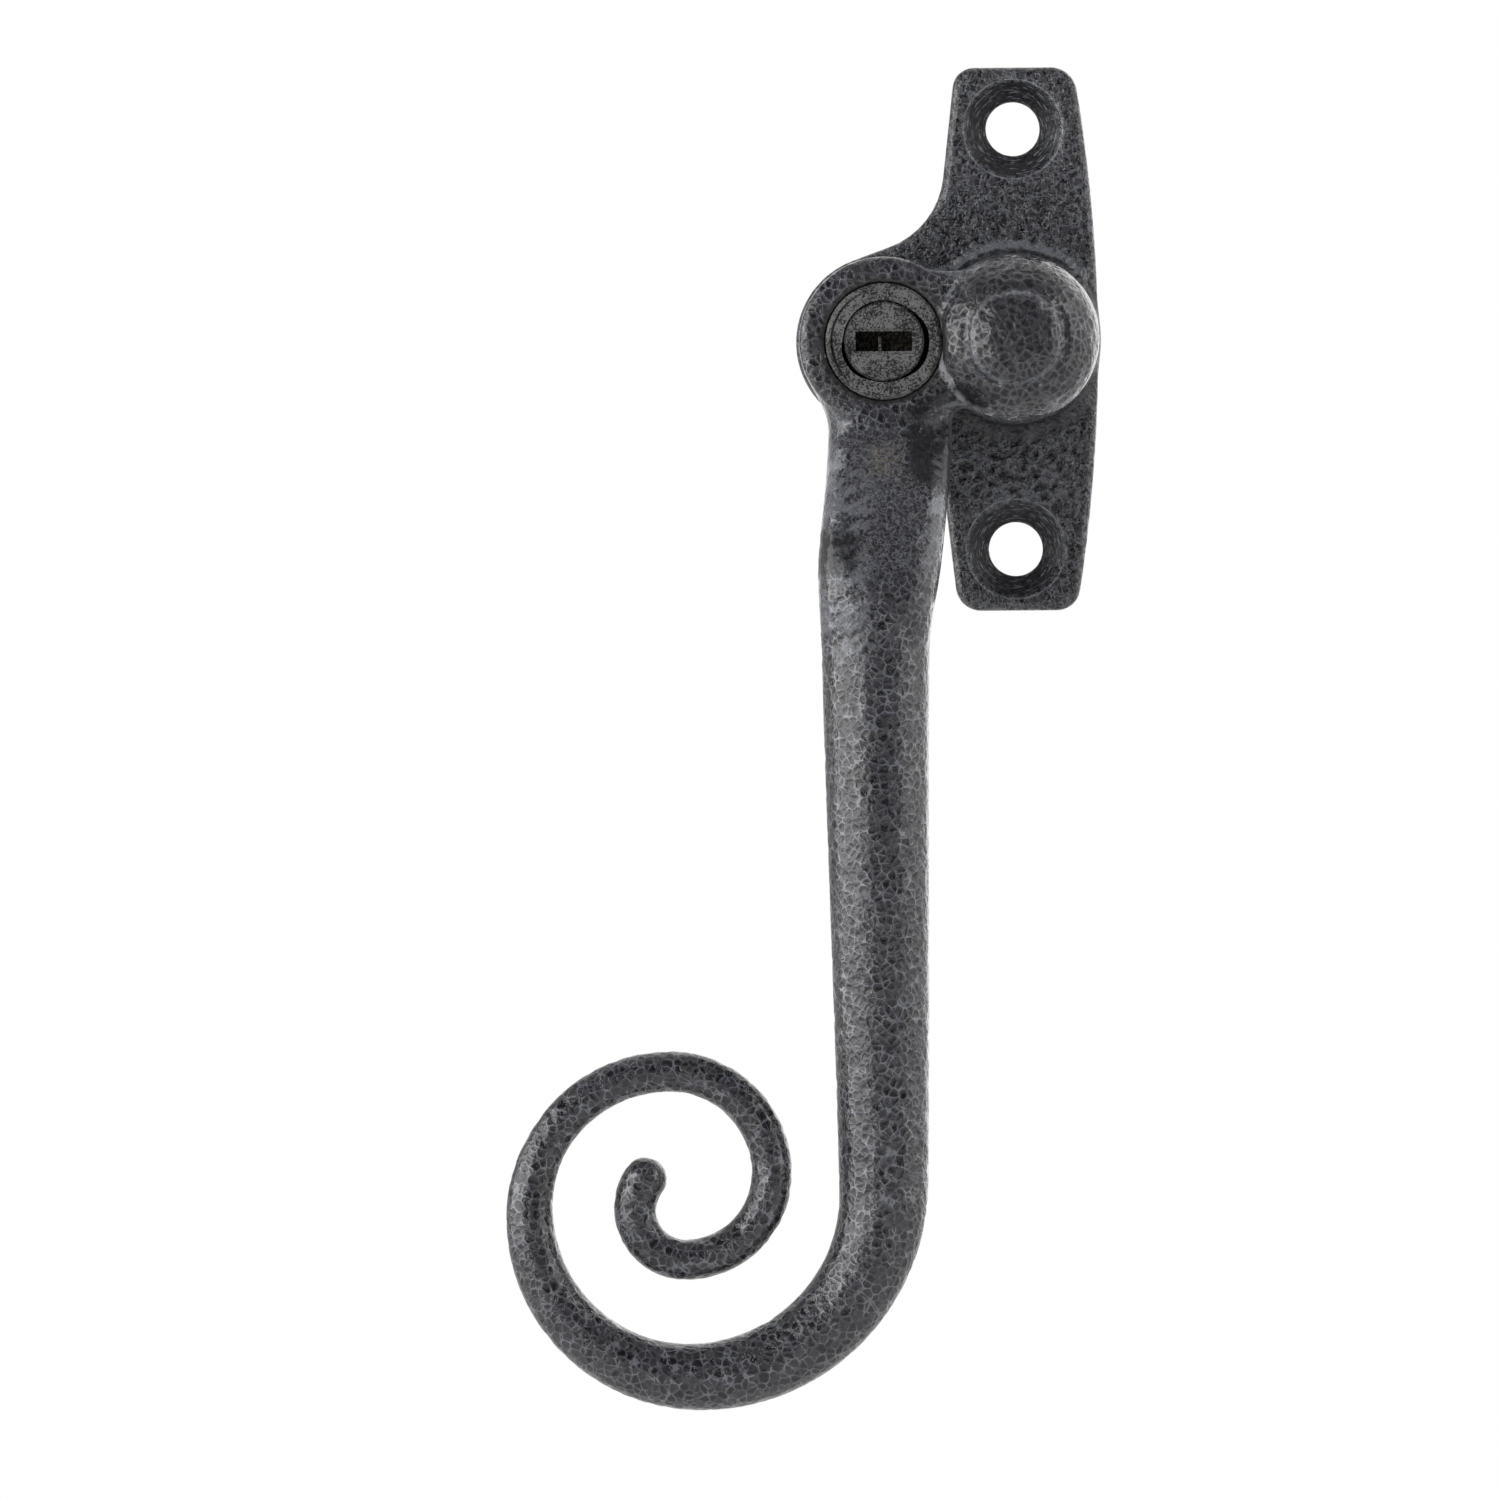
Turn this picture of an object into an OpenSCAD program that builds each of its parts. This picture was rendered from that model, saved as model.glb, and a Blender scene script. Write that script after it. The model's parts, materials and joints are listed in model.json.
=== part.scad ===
// Casement window fastener: a key-locking lever handle with a scroll tail on a two-screw backplate.
// Drawing frame: x to the right, y up, z towards the room, with z = 0 on the back of the plate
// and the pivot axis through the origin. The finished part is turned so its front faces -Y and +Z is up.

/* [Backplate] */
// Distance between the two fixing screws
screw_pitch = 43; // [42:0.5:46]
// Diameter of each fixing screw hole
screw_hole_d = 5.5; // [4.5:0.1:6]
// Diameter of each countersink at the face
countersink_d = 10.2; // [9:0.1:10.6]
// Plate above and below each screw centre
plate_end = 6.3; // [6:0.1:8]
// Half width of the plate at the pivot
plate_half_w = 8.6; // [8.5:0.1:9.2]
// Radius of the plate's long bowed sides
plate_bow_r = 163; // [140:1:220]
// Thickness of the plate
plate_t = 4.5; // [4.5:0.1:5]
// Height of the raised seat above the plate's face
seat_rise = 2; // [2:0.1:2.4]
// Radius of the raised seat round the pivot
seat_r = 8.9; // [8.8:0.1:9.2]
// Radius of the plate's lobe under the lock
lobe_r = 8.95; // [8.8:0.1:9.4]
// Radius of the hollow curve between lobe and plate
lobe_fillet_r = 8.5; // [7:0.1:9]

/* [Head of the handle] */
// Distance from the pivot to the lock axis
lock_reach = 13.4; // [13.2:0.1:14]
// Drop of the lock axis below the pivot
lock_drop = 0.25; // [0:0.05:0.5]
// Radius of the domed hub
hub_r = 8.65; // [8.5:0.05:8.8]
// Radius of the hub's round shoulder
hub_shoulder_r = 7; // [6.5:0.1:7.5]
// Radius of the raised cap on the hub
cap_r = 4.7; // [4:0.1:5]
// Height of the raised cap
cap_rise = 1.7; // [1:0.1:2.2]
// Radius of the boss round the lock
boss_r = 8.65; // [8.5:0.05:8.8]
// Radius of the rounded edge of the boss
boss_edge_r = 0.8; // [0.5:0.1:1.5]
// Height of the head from its underside to the lock boss face
head_h = 14.5; // [14.5:0.1:15.5]

/* [Lever and scroll] */
// Width of the neck under the lock
neck_w = 12.6; // [12:0.1:13]
// Width of the lever below the crank
lever_w = 11; // [10:0.1:12]
// Width of the lever where the scroll begins
scroll_w = 9.2; // [8.5:0.1:10]
// Thickness of the scroll's tail
tail_w = 4.15; // [3.8:0.05:4.6]
// Thickness of the tail's swollen tip
tip_w = 4.45; // [4.2:0.05:4.8]
// Depth of the lever as a share of its width
lever_depth = 0.94; // [0.85:0.01:1]
// Squareness of the neck's section: 2 is an ellipse
neck_square = 3.2; // [2:0.1:4]
// Squareness of the hub's raised cap: 2 is an ellipse
cap_square = 2.5; // [2:0.1:3.5]
// Offset of the lever from the pivot line
lever_x = 14.5; // [14:0.1:15]
// Distance from the pivot down to the scroll
scroll_drop = 86.45; // [80:0.5:100]
// Distance the crank carries the lever out into the room
crank_out = 10.5; // [8:0.5:13]
// Radius of the scroll's first quarter turn
scroll_r = 19.33; // [18:0.1:21]
// Length over which the scroll tapers to its tail
taper_len = 65; // [55:1:75]

/* [Pivot and spindle] */
// Width across the flats of the square spindle
spindle_af = 7; // [6.8:0.1:7.1]
// Length of spindle behind the plate
spindle_out = 30; // [20:1:45]
// Radius of the hub's journal in the plate
journal_r = 6; // [5.9:0.05:6.05]
// Wall of the pivot bush
bush_wall = 0.95; // [0.8:0.05:1.0]
// Clearance of a running fit on the radius
running = 0.05; // [0.03:0.01:0.08]
// Clearance of a fixed fit on the radius
fixed = 0.02; // [0.01:0.005:0.03]

/* [Lock] */
// Radius of the lock barrel
barrel_r = 5.95; // [5.9:0.01:6]
// Radius of the turning plug
plug_r = 4.1; // [4.05:0.01:4.15]
// Length of the key slot
key_slot_l = 5.8; // [5:0.1:6]
// Width of the key slot
key_slot_w = 2.05; // [1.8:0.05:2.2]
// Travel of the lock bolt in a quarter turn of the key
bolt_throw = 2; // [1.8:0.05:2]
// Radius of the lock bolt
bolt_r = 2; // [1.9:0.02:2]
// Radius of the cross pin that drives the bolt
cam_pin_r = 0.5; // [0.45:0.01:0.52]
// Thickness of one wafer
wafer_t = 0.9; // [0.85:0.01:0.95]
// Travel of a wafer into the barrel
wafer_throw = 0.5; // [0.3:0.05:0.55]

/* [Hidden] */
$fn = 64;
eps = 0.01;
iron = [0.19, 0.20, 0.22];
steel = [0.55, 0.56, 0.58];
zinc = [0.36, 0.36, 0.37];
brass = [0.72, 0.58, 0.30];
nylon = [0.08, 0.08, 0.09];

lock_pos = [-lock_reach, -lock_drop, 0];
plate_half_h = screw_pitch / 2 + plate_end;
seat_z = plate_t + seat_rise;
seat_foot = 0.6;
bush_flange_t = 0.55;
bush_flange_r = journal_r + 2.2;
bush_r = journal_r + running + bush_wall;
under_z = seat_z + bush_flange_t + running;
boss_z = under_z + head_h;

// Rear recess of the plate, from the back: ring, wave washer, thrust washer
recess_r = journal_r + 1.7;
recess_d = 3.4;
ring_t = 0.8;
ring_z = 0.62;
ring_seat_r = journal_r - 0.5;
ring_r = journal_r + 1.2;
washer_t = 0.6;
washer_r = recess_r - 0.15;
wave_t = 0.3;

// Hub dome: where the round shoulder starts, and the flat step at its top
dome_z = boss_z - 3.1;
shoulder_in = hub_r - hub_shoulder_r;
shoulder_top = 55;
step_r = shoulder_in + hub_shoulder_r * cos(shoulder_top);
step_z = dome_z + hub_shoulder_r * sin(shoulder_top);

// Spindle socket and grub screw
socket_depth = 9;
socket_top = under_z + socket_depth;
grub_r = 2;
grub_z = under_z + 5.2;
grub_key_r = 1.15;

// Lock, upwards from the floor of its bore
floor_t = 1.1;
floor_z = under_z + floor_t;
barrel_proud = 0.3;
barrel_top = boss_z + barrel_proud;
chamber_r = 4.4;
chamber_top = floor_z + 5.9;
lip_t = 0.9;
lip_z = chamber_top + lip_t;
tail_r = 2.95;
tail_z = floor_z + 0.15;
plug_z = lip_z + running;
plug_sunk = 0.15;
plug_top = barrel_top - plug_sunk;
clip_t = 0.5;
clip_z = chamber_top - clip_t - running;
clip_seat_r = 2.5;
clip_r = 4;
pin_z = floor_z + 3.6;
pin_half = chamber_r - 0.2;
bolt_top = pin_z + 1.2;
bolt_tip = under_z + 0.1;
cam_h = sqrt(1 + pow(bolt_throw / (PI / 2) / bolt_r, 2)) * cam_pin_r + 0.07;
cam_over = 17;
guide_top = clip_z - 0.2;
guide_foot = 0.8;
wafer_pitch = 1.25;
wafer_z = plug_z + 0.75;
wafer_w = 3.2;
wafer_r = plug_r - 0.1;
wafer_gap = 0.05;
lug_y = 1.1;
lug_x = 0.6;
pocket_l = 2;
keep_r = bolt_r + 0.3;
keep_floor = 3.4;
barrel_pin_r = 0.9;
barrel_pin_l = 5;
barrel_pin_at = 215;

// Smooth step from 0 to 1 between a and b
function ramp(v, a, b) = let (t = min(1, max(0, (v - a) / (b - a)))) t * t * (3 - 2 * t);
function mix(a, b, t) = a + (b - a) * t;
function unit(v) = v / norm(v);

// Points of a polygon whose corners [x, y, r] are rounded by their own radius
function round_corner(p, c, n) =
    let (
        c2 = [c[0], c[1]],
        u = unit([p[0], p[1]] - c2),
        v = unit([n[0], n[1]] - c2),
        half = acos(max(-1, min(1, u * v))) / 2,
        centre = c2 + unit(u + v) * c[2] / sin(half),
        t1 = c2 + u * c[2] / tan(half) - centre,
        t2 = c2 + v * c[2] / tan(half) - centre,
        a1 = atan2(t1[1], t1[0]),
        turn = atan2(t1[0] * t2[1] - t1[1] * t2[0], t1 * t2),
        steps = max(4, ceil(abs(turn) / 8))
    )
    [for (i = [0:steps]) centre + c[2] * [cos(a1 + turn * i / steps), sin(a1 + turn * i / steps)]];
function rounded(c) = [for (i = [0:len(c) - 1])
    each (c[i][2] == 0 ? [[c[i][0], c[i][1]]]
        : round_corner(c[(i + len(c) - 1) % len(c)], c[i], c[(i + 1) % len(c)]))];

// Outline of the plate, anticlockwise from its lower right corner
function bow_x(y) = plate_half_w - y * y / (2 * plate_bow_r);
lobe_lean = 20;
lobe_tip = [lock_pos[0], lock_pos[1]];
function lobe_at(a) = lobe_tip + lobe_r * [cos(a), sin(a)];
edge_x = plate_half_w - 2.7;
hip_x = plate_half_w - 0.85;
tangent_up = lobe_at(90 + lobe_lean);
hip_up = tangent_up[1] + tan(lobe_lean) * (-hip_x - tangent_up[0]);
tangent_down = lobe_at(270 - lobe_lean);
hip_down = tangent_down[1] - tan(lobe_lean) * (-hip_x - tangent_down[0]);
bow_reach = plate_half_h - 4;
plate_corners = concat(
    [[bow_x(plate_half_h), -plate_half_h, 2.4]],
    [for (i = [-8:8]) [bow_x(bow_reach * i / 8), bow_reach * i / 8, 0]],
    [[bow_x(plate_half_h), plate_half_h, 2.7], [-edge_x, plate_half_h, 2.2], [-hip_x, hip_up, lobe_fillet_r]],
    [for (i = [0:20]) let (p = lobe_at(mix(90 + lobe_lean, 270 - lobe_lean, i / 20))) [p[0], p[1], 0]],
    [[-hip_x, hip_down, lobe_fillet_r], [-edge_x, -plate_half_h, 2.6]]);

// Edge profile of the plate: [height, how far the outline draws in]
edge_back = 0.25;
edge_front = 0.9;
edge_levels = concat([[0, edge_back], [edge_back, 0]],
    [for (a = [0:22.5:90]) [plate_t - edge_front * (1 - sin(a)) * 0.95, edge_front * (1 - cos(a))]]);

// Outline drawn in by d along its own normals
function drawn_in(p, d) = [for (i = [0:len(p) - 1])
    let (
        a = unit(p[i] - p[(i + len(p) - 1) % len(p)]),
        b = unit(p[(i + 1) % len(p)] - p[i]),
        t = unit(a + b)
    ) p[i] + d * [-t[1], t[0]]];

// Solid through a stack of rings of equal point count, closed by a fan round the middle of each end ring
function middle(ring) = [for (p = ring) 1 / len(ring)] * ring;
module loft(rings) {
    n = len(rings[0]);
    m = len(rings);
    last = (m - 1) * n;
    points = concat([for (r = rings) each r], [middle(rings[0]), middle(rings[m - 1])]);
    walls = [for (j = [0:m - 2]) for (i = [0:n - 1]) let (k = (i + 1) % n) each [
        [j * n + i, (j + 1) * n + i, (j + 1) * n + k],
        [j * n + i, (j + 1) * n + k, j * n + k]]];
    ends = [for (i = [0:n - 1]) let (k = (i + 1) % n) each [[m * n, i, k], [m * n + 1, last + k, last + i]]];
    polyhedron(points = points, faces = concat(walls, ends), convexity = 8);
}

module plate_slab() {
    outline = rounded(plate_corners);
    loft([for (l = edge_levels) [for (p = drawn_in(outline, l[1])) [p[0], p[1], l[0]]]]);
}

// Raised seat that carries the hub, with a sloping foot, and its step along the lobe to the lock keep
module plate_seat() {
    foot_z = plate_t - 0.3;
    ledge_r = lobe_r - 1.4;
    translate([0, 0, seat_foot]) cylinder(r = seat_r, h = seat_z - seat_foot);
    intersection() {
        translate([0, 0, foot_z]) cylinder(r1 = seat_r + 1.5, r2 = seat_r - 0.3, h = 1.8);
        translate([-40, -20, 0]) cube([40 + plate_half_w - 1.3, 40, seat_z]);
    }
    translate([lock_pos[0], lock_pos[1], foot_z]) cylinder(r = ledge_r, h = seat_z - foot_z);
    translate([lock_pos[0], lock_pos[1] - ledge_r + 0.3, foot_z])
        cube([lock_reach, 2 * ledge_r - 0.6, seat_z - foot_z]);
}

module screw_hole() {
    cone_d = (countersink_d - screw_hole_d) / 2;
    translate([0, 0, -1]) cylinder(d = screw_hole_d, h = plate_t + 2);
    translate([0, 0, plate_t - cone_d])
        cylinder(r1 = screw_hole_d / 2, r2 = countersink_d / 2 + 1, h = cone_d + 1);
}

module backplate() {
    color(iron) difference() {
        union() {
            plate_slab();
            plate_seat();
        }
        for (s = [-1, 1]) translate([0, s * screw_pitch / 2, 0]) screw_hole();
        translate([0, 0, -1]) cylinder(r = recess_r, h = recess_d + 1);
        translate([0, 0, recess_d - 1]) cylinder(r = bush_r + fixed, h = seat_z);
        translate([lock_pos[0], lock_pos[1], keep_floor]) cylinder(r = keep_r, h = seat_z);
    }
}

module pivot_bush() {
    bore = journal_r + running;
    foot = recess_d + 0.05;
    flange = seat_z + fixed;
    top = seat_z + bush_flange_t;
    color(nylon) rotate_extrude() polygon([[bore, foot], [bush_r, foot], [bush_r, flange],
        [bush_flange_r, flange], [bush_flange_r, top], [bore, top]]);
}

module thrust_washer() {
    color(steel) translate([0, 0, recess_d - washer_t - fixed]) difference() {
        cylinder(r = washer_r, h = washer_t);
        translate([0, 0, -1]) cylinder(r = journal_r + running, h = washer_t + 2);
    }
}

// Spring washer with three waves, squeezed between the thrust washer and the retaining ring
module wave_washer() {
    low = ring_z + ring_t + fixed;
    high = recess_d - washer_t - 2 * fixed;
    amp = (high - low - wave_t) / 2;
    mid = (high + low) / 2;
    steps = 60;
    rings = [for (i = [0:steps - 1]) let (a = 360 * i / steps, z = mid + amp * sin(3 * a)) [
        [washer_r * cos(a), washer_r * sin(a), z - wave_t / 2],
        [washer_r * cos(a), washer_r * sin(a), z + wave_t / 2],
        [(journal_r + 0.1) * cos(a), (journal_r + 0.1) * sin(a), z + wave_t / 2],
        [(journal_r + 0.1) * cos(a), (journal_r + 0.1) * sin(a), z - wave_t / 2]]];
    faces = [for (i = [0:steps - 1]) for (j = [0:3]) let (k = (i + 1) % steps, l = (j + 1) % 4) each [
        [i * 4 + j, i * 4 + l, k * 4 + l],
        [i * 4 + j, k * 4 + l, k * 4 + j]]];
    color(steel) polyhedron(points = [for (r = rings) each r], faces = faces, convexity = 4);
}

module retaining_ring() {
    color(steel) translate([0, 0, ring_z]) rotate([0, 0, 110]) rotate_extrude(angle = 320)
        translate([ring_seat_r + fixed, 0]) square([ring_r - ring_seat_r - fixed, ring_t]);
}

// Centre line of the lever: [x, y, z, width] at each station, neck first
scroll_x = lever_x - 0.42;
neck_z = under_z + 7.4;
lever_z = neck_z + crank_out;
function lever_station(y) = let (down = -y) [
    -mix(mix(lock_reach - 0.6, lever_x, ramp(down, 8, 31)), scroll_x, ramp(down, 30, scroll_drop)),
    y,
    mix(neck_z, lever_z, ramp(down, 5, 29)) - 1.2 * ramp(down, 45, scroll_drop),
    mix(mix(neck_w, lever_w, ramp(down, 21, 33)), scroll_w, max(0, (down - 33) / (scroll_drop - 33)))];
quarters = [for (k = [1, 0.871, 0.742, 0.538, 0.456]) [scroll_r * k, 90]];
scroll_turns = concat(quarters, [[scroll_r * 0.267, 127]]);
function scroll_walk(p, h, s, i) = i >= len(scroll_turns) ? []
    : let (r = scroll_turns[i][0], t = scroll_turns[i][1], n = ceil(t / 7.5), arc = r * t * PI / 180)
    concat([for (k = [1:n]) let (g = h - t * k / n)
            [p[0] + r * (sin(h) - sin(g)), p[1] + r * (cos(g) - cos(h)), s + arc * k / n]],
        scroll_walk(p + r * [sin(h) - sin(h - t), cos(h - t) - cos(h)], h - t, s + arc, i + 1));
neck_start = 3;
neck_steps = [for (d = [neck_start:2:36]) -d];
lever_steps = [for (i = [1:10]) -mix(36, scroll_drop, i / 10)];
scroll_z = lever_station(-scroll_drop)[2];
scroll_path = scroll_walk([-scroll_x, -scroll_drop], -90, 0, 0);
scroll_len = scroll_path[len(scroll_path) - 1][2];
function scroll_width(s) = max(mix(scroll_w, tail_w, s / taper_len),
    mix(tail_w, tip_w, ramp(s, scroll_len - 2 * tail_w, scroll_len)));
spine = concat(
    [for (y = concat(neck_steps, lever_steps)) lever_station(y)],
    [for (p = scroll_path) [p[0], p[1], scroll_z, scroll_width(p[2])]]);
function spot(i) = [spine[i][0], spine[i][1], spine[i][2]];
function heading(i) = unit(spot(min(i + 1, len(spine) - 1)) - spot(max(i - 1, 0)));

// One oval ring of the lever, square to its path; squarer at the neck, round as the scroll thins
sides = 24;
function arm(t, power) = sign(t) * pow(abs(t), 2 / power);
function square_of(i) = mix(neck_square, 2, ramp(-spine[i][1], 19, 33));
function oval(c, t, w, d, power = 2) = let (across = unit(cross(t, [0, 0, 1])), out = cross(t, across))
    [for (i = [0:sides - 1]) let (a = 360 * i / sides)
        c + across * (w / 2 * arm(cos(a), power)) + out * (d / 2 * arm(sin(a), power))];
function depth_of(w) = w * mix(1, lever_depth, ramp(w, tail_w, scroll_w));

module lever() {
    last = len(spine) - 1;
    tip = spot(last);
    tip_t = heading(last);
    body = [for (i = [0:last]) oval(spot(i), heading(i), spine[i][3], depth_of(spine[i][3]), square_of(i))];
    cap = [for (a = [15:15:75]) let (w = tip_w * cos(a))
        oval(tip + tip_t * (tip_w / 2 * sin(a)), tip_t, w, w)];
    loft(concat(body, cap));
}

// Dome with a round shoulder, a flat step and a raised cap
module hub() {
    shoulder = [for (a = [0:5:shoulder_top])
        [shoulder_in + hub_shoulder_r * cos(a), dome_z + hub_shoulder_r * sin(a)]];
    cap = [for (a = [0:10:90])
        [cap_r * arm(cos(a), cap_square), step_z + 0.1 + cap_rise * arm(sin(a), cap_square)]];
    foot = [[0, under_z], [hub_r - 0.4, under_z], [hub_r, under_z + 0.4]];
    rotate_extrude() polygon(concat(foot, shoulder, [[step_r - 0.5, step_z + 0.1]], cap));
    translate([0, 0, 0.1]) cylinder(r = journal_r, h = under_z + 1);
}

module boss() {
    edge = [for (a = [0:10:90]) [boss_r - boss_edge_r * (1 - cos(a)), boss_z - boss_edge_r * (1 - sin(a))]];
    translate(lock_pos) rotate_extrude() polygon(concat(
        [[0, under_z], [boss_r - 0.4, under_z], [boss_r, under_z + 0.4]], edge, [[0, boss_z]]));
}

module handle() {
    web_half = 6.9;
    color(iron) difference() {
        union() {
            hub();
            boss();
            translate([-lock_reach + 2, -web_half, under_z + 0.05])
                cube([lock_reach - 4, 2 * web_half, head_h - 0.5]);
            lever();
        }
        translate([lock_pos[0], lock_pos[1], floor_z]) cylinder(r = barrel_r + running, h = 40);
        translate([lock_pos[0], lock_pos[1], 0]) cylinder(r = bolt_r + running, h = floor_z + 1);
        translate(lock_pos) rotate([0, 0, barrel_pin_at]) translate([barrel_r, 0, under_z - 1])
            cylinder(r = barrel_pin_r, h = barrel_pin_l + 1.4);
        translate([-spindle_af / 2 - fixed, -spindle_af / 2 - fixed, -1])
            cube([spindle_af + 2 * fixed, spindle_af + 2 * fixed, socket_top + 1]);
        translate([0, 0, grub_z]) rotate([90, 0, 0]) cylinder(r = grub_r + fixed, h = hub_r + 1);
        translate([0, 0, ring_z - fixed]) difference() {
            cylinder(r = journal_r + 1, h = ring_t + 2 * fixed);
            translate([0, 0, -1]) cylinder(r = ring_seat_r, h = ring_t + 3);
        }
    }
}

// Square bar with its long edges broken and its free end tapered
module spindle() {
    break_edge = 0.4;
    top = socket_top - 0.3;
    half = spindle_af / 2;
    flat = half - break_edge;
    color(steel) intersection() {
        translate([0, 0, -spindle_out]) linear_extrude(height = spindle_out + top) polygon([
            [half, flat], [flat, half], [-flat, half], [-half, flat],
            [-half, -flat], [-flat, -half], [flat, -half], [half, -flat]]);
        union() {
            translate([0, 0, -spindle_out]) cylinder(r1 = half - 0.3, r2 = half * 1.6, h = 2.6);
            translate([0, 0, 2.6 - spindle_out - eps]) cylinder(r = half * 1.6, h = spindle_out + top);
        }
    }
}

// Socket set screw that holds the spindle; its cup end meets the spindle's lower flat
module spindle_grub_screw() {
    length = hub_r - 0.5 - spindle_af / 2;
    color(steel) translate([0, -spindle_af / 2 - fixed, grub_z]) rotate([90, 0, 0]) difference() {
        cylinder(r = grub_r, h = length);
        translate([0, 0, length - 2]) cylinder(r = grub_key_r, h = 3, $fn = 6);
    }
}

module lock_barrel() {
    groove_w = wafer_w + 0.25;
    groove_r = wafer_r + wafer_throw + 0.2;
    groove_h = 4 * wafer_pitch + 0.3;
    bevel = 0.25;
    color(zinc) translate([lock_pos[0], lock_pos[1], 0]) difference() {
        rotate_extrude() polygon([[chamber_r, floor_z + fixed], [barrel_r, floor_z + fixed],
            [barrel_r, barrel_top - bevel], [barrel_r - bevel, barrel_top],
            [plug_r + running + bevel, barrel_top], [plug_r + running, barrel_top - bevel],
            [plug_r + running, lip_z], [tail_r + running, lip_z], [tail_r + running, chamber_top],
            [chamber_r, chamber_top]]);
        for (a = [0, 90]) rotate([0, 0, a]) translate([-groove_r, -groove_w / 2, wafer_z - 0.2])
            cube([2 * groove_r, groove_w, groove_h]);
        rotate([0, 0, barrel_pin_at]) translate([barrel_r, 0, 0])
            cylinder(r = barrel_pin_r, h = under_z + barrel_pin_l + 0.4);
    }
}

// Pin driven up from under the boss, half in the boss and half in the barrel
module barrel_pin() {
    color(steel) translate(lock_pos) rotate([0, 0, barrel_pin_at]) translate([barrel_r, 0, under_z + 0.2])
        cylinder(r = barrel_pin_r - fixed, h = barrel_pin_l);
}

// Slotted sleeve in the foot of the barrel that keeps the cross pin from turning
module guide_bush() {
    slot_w = 2 * (cam_pin_r + running);
    color(brass) translate([lock_pos[0], lock_pos[1], floor_z + fixed]) difference() {
        cylinder(r = chamber_r - fixed, h = guide_top - floor_z - fixed);
        translate([0, 0, -floor_t]) cylinder(r = tail_r + 2 * running, h = guide_top);
        translate([-barrel_r, -slot_w / 2, guide_foot]) cube([2 * barrel_r, slot_w, guide_top]);
    }
}

// Slanted slot round the plug's tail that carries the cross pin down as the plug turns
module cam_slot() {
    steps = 16;
    r_in = bolt_r - 0.6;
    r_out = tail_r + 0.4;
    rings = [for (i = [0:steps]) let (
            a = -cam_over + (90 + 2 * cam_over) * i / steps,
            z = pin_z - bolt_throw * a / 90
        ) [
        [r_in * cos(a), r_in * sin(a), z - cam_h],
        [r_out * cos(a), r_out * sin(a), z - cam_h],
        [r_out * cos(a), r_out * sin(a), z + cam_h],
        [r_in * cos(a), r_in * sin(a), z + cam_h]]];
    loft([for (i = [steps:-1:0]) rings[i]]);
}

function wafer_low(i) = wafer_z + (i - 1) * wafer_pitch;

// Room in the plug for wafer i and its spring; every other wafer faces the other way
module wafer_room(i) {
    room_w = wafer_w + 2 * wafer_gap;
    room_h = wafer_t + 2 * wafer_gap;
    reach = 1.25 * plug_r;
    translate([0, 0, wafer_low(i) - wafer_gap]) rotate([0, 0, i % 2 == 0 ? 180 : 0]) {
        translate([-reach, -room_w / 2, 0]) cube([2 * reach, room_w, room_h]);
        translate([-pocket_l, 0, 0])
            cube([pocket_l + lug_x + wafer_throw + 0.1, wafer_w / 2 + lug_y + wafer_gap, room_h]);
    }
}

module lock_plug() {
    bevel = 0.25;
    band_l = key_slot_l + 1.5;
    band_w = key_slot_w + 0.55;
    ward_t = 0.28;
    color(zinc) translate([lock_pos[0], lock_pos[1], 0]) {
        difference() {
            rotate_extrude() polygon([[0, tail_z], [tail_r, tail_z], [tail_r, plug_z], [plug_r, plug_z],
                [plug_r, plug_top - bevel], [plug_r - bevel, plug_top], [0, plug_top]]);
            translate([-key_slot_l / 2, -key_slot_w / 2, plug_z + 0.5])
                cube([key_slot_l, key_slot_w, plug_top]);
            translate([-band_l / 2, -band_w / 2, plug_top - 0.2]) cube([band_l, band_w, 1]);
            for (i = [1:4]) wafer_room(i);
            translate([0, 0, clip_z - running]) difference() {
                cylinder(r = chamber_r, h = clip_t + 2 * running);
                translate([0, 0, -clip_t]) cylinder(r = clip_seat_r, h = 3 * clip_t);
            }
            cylinder(r = bolt_r + running, h = bolt_top + 0.25);
            for (a = [0, 180]) rotate([0, 0, a]) cam_slot();
        }
        translate([-0.55, -key_slot_w / 2 - 0.1, plug_top - 1.25])
            cube([ward_t, key_slot_w * 0.72 + 0.1, 0.45]);
    }
}

module plug_clip() {
    color(steel) translate([lock_pos[0], lock_pos[1], clip_z]) rotate([0, 0, 130]) rotate_extrude(angle = 280)
        translate([clip_seat_r + fixed, 0]) square([clip_r - clip_seat_r - fixed, clip_t]);
}

// Wafer with a window for the key and a lug for its spring
module wafer(i) {
    window_l = key_slot_l + 0.1;
    window_w = key_slot_w + 0.1;
    color(brass) translate([lock_pos[0], lock_pos[1], wafer_low(i)]) rotate([0, 0, i % 2 == 0 ? 180 : 0])
        difference() {
            union() {
                intersection() {
                    cylinder(r = wafer_r, h = wafer_t);
                    translate([-plug_r, -wafer_w / 2, -1]) cube([2 * plug_r, wafer_w, wafer_t + 2]);
                }
                cube([lug_x, wafer_w / 2 + lug_y, wafer_t]);
            }
            translate([-window_l / 2, -window_w / 2, -1]) cube([window_l, window_w, wafer_t + 2]);
        }
}
module wafer_1() { wafer(1); }
module wafer_2() { wafer(2); }
module wafer_3() { wafer(3); }
module wafer_4() { wafer(4); }

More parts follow.
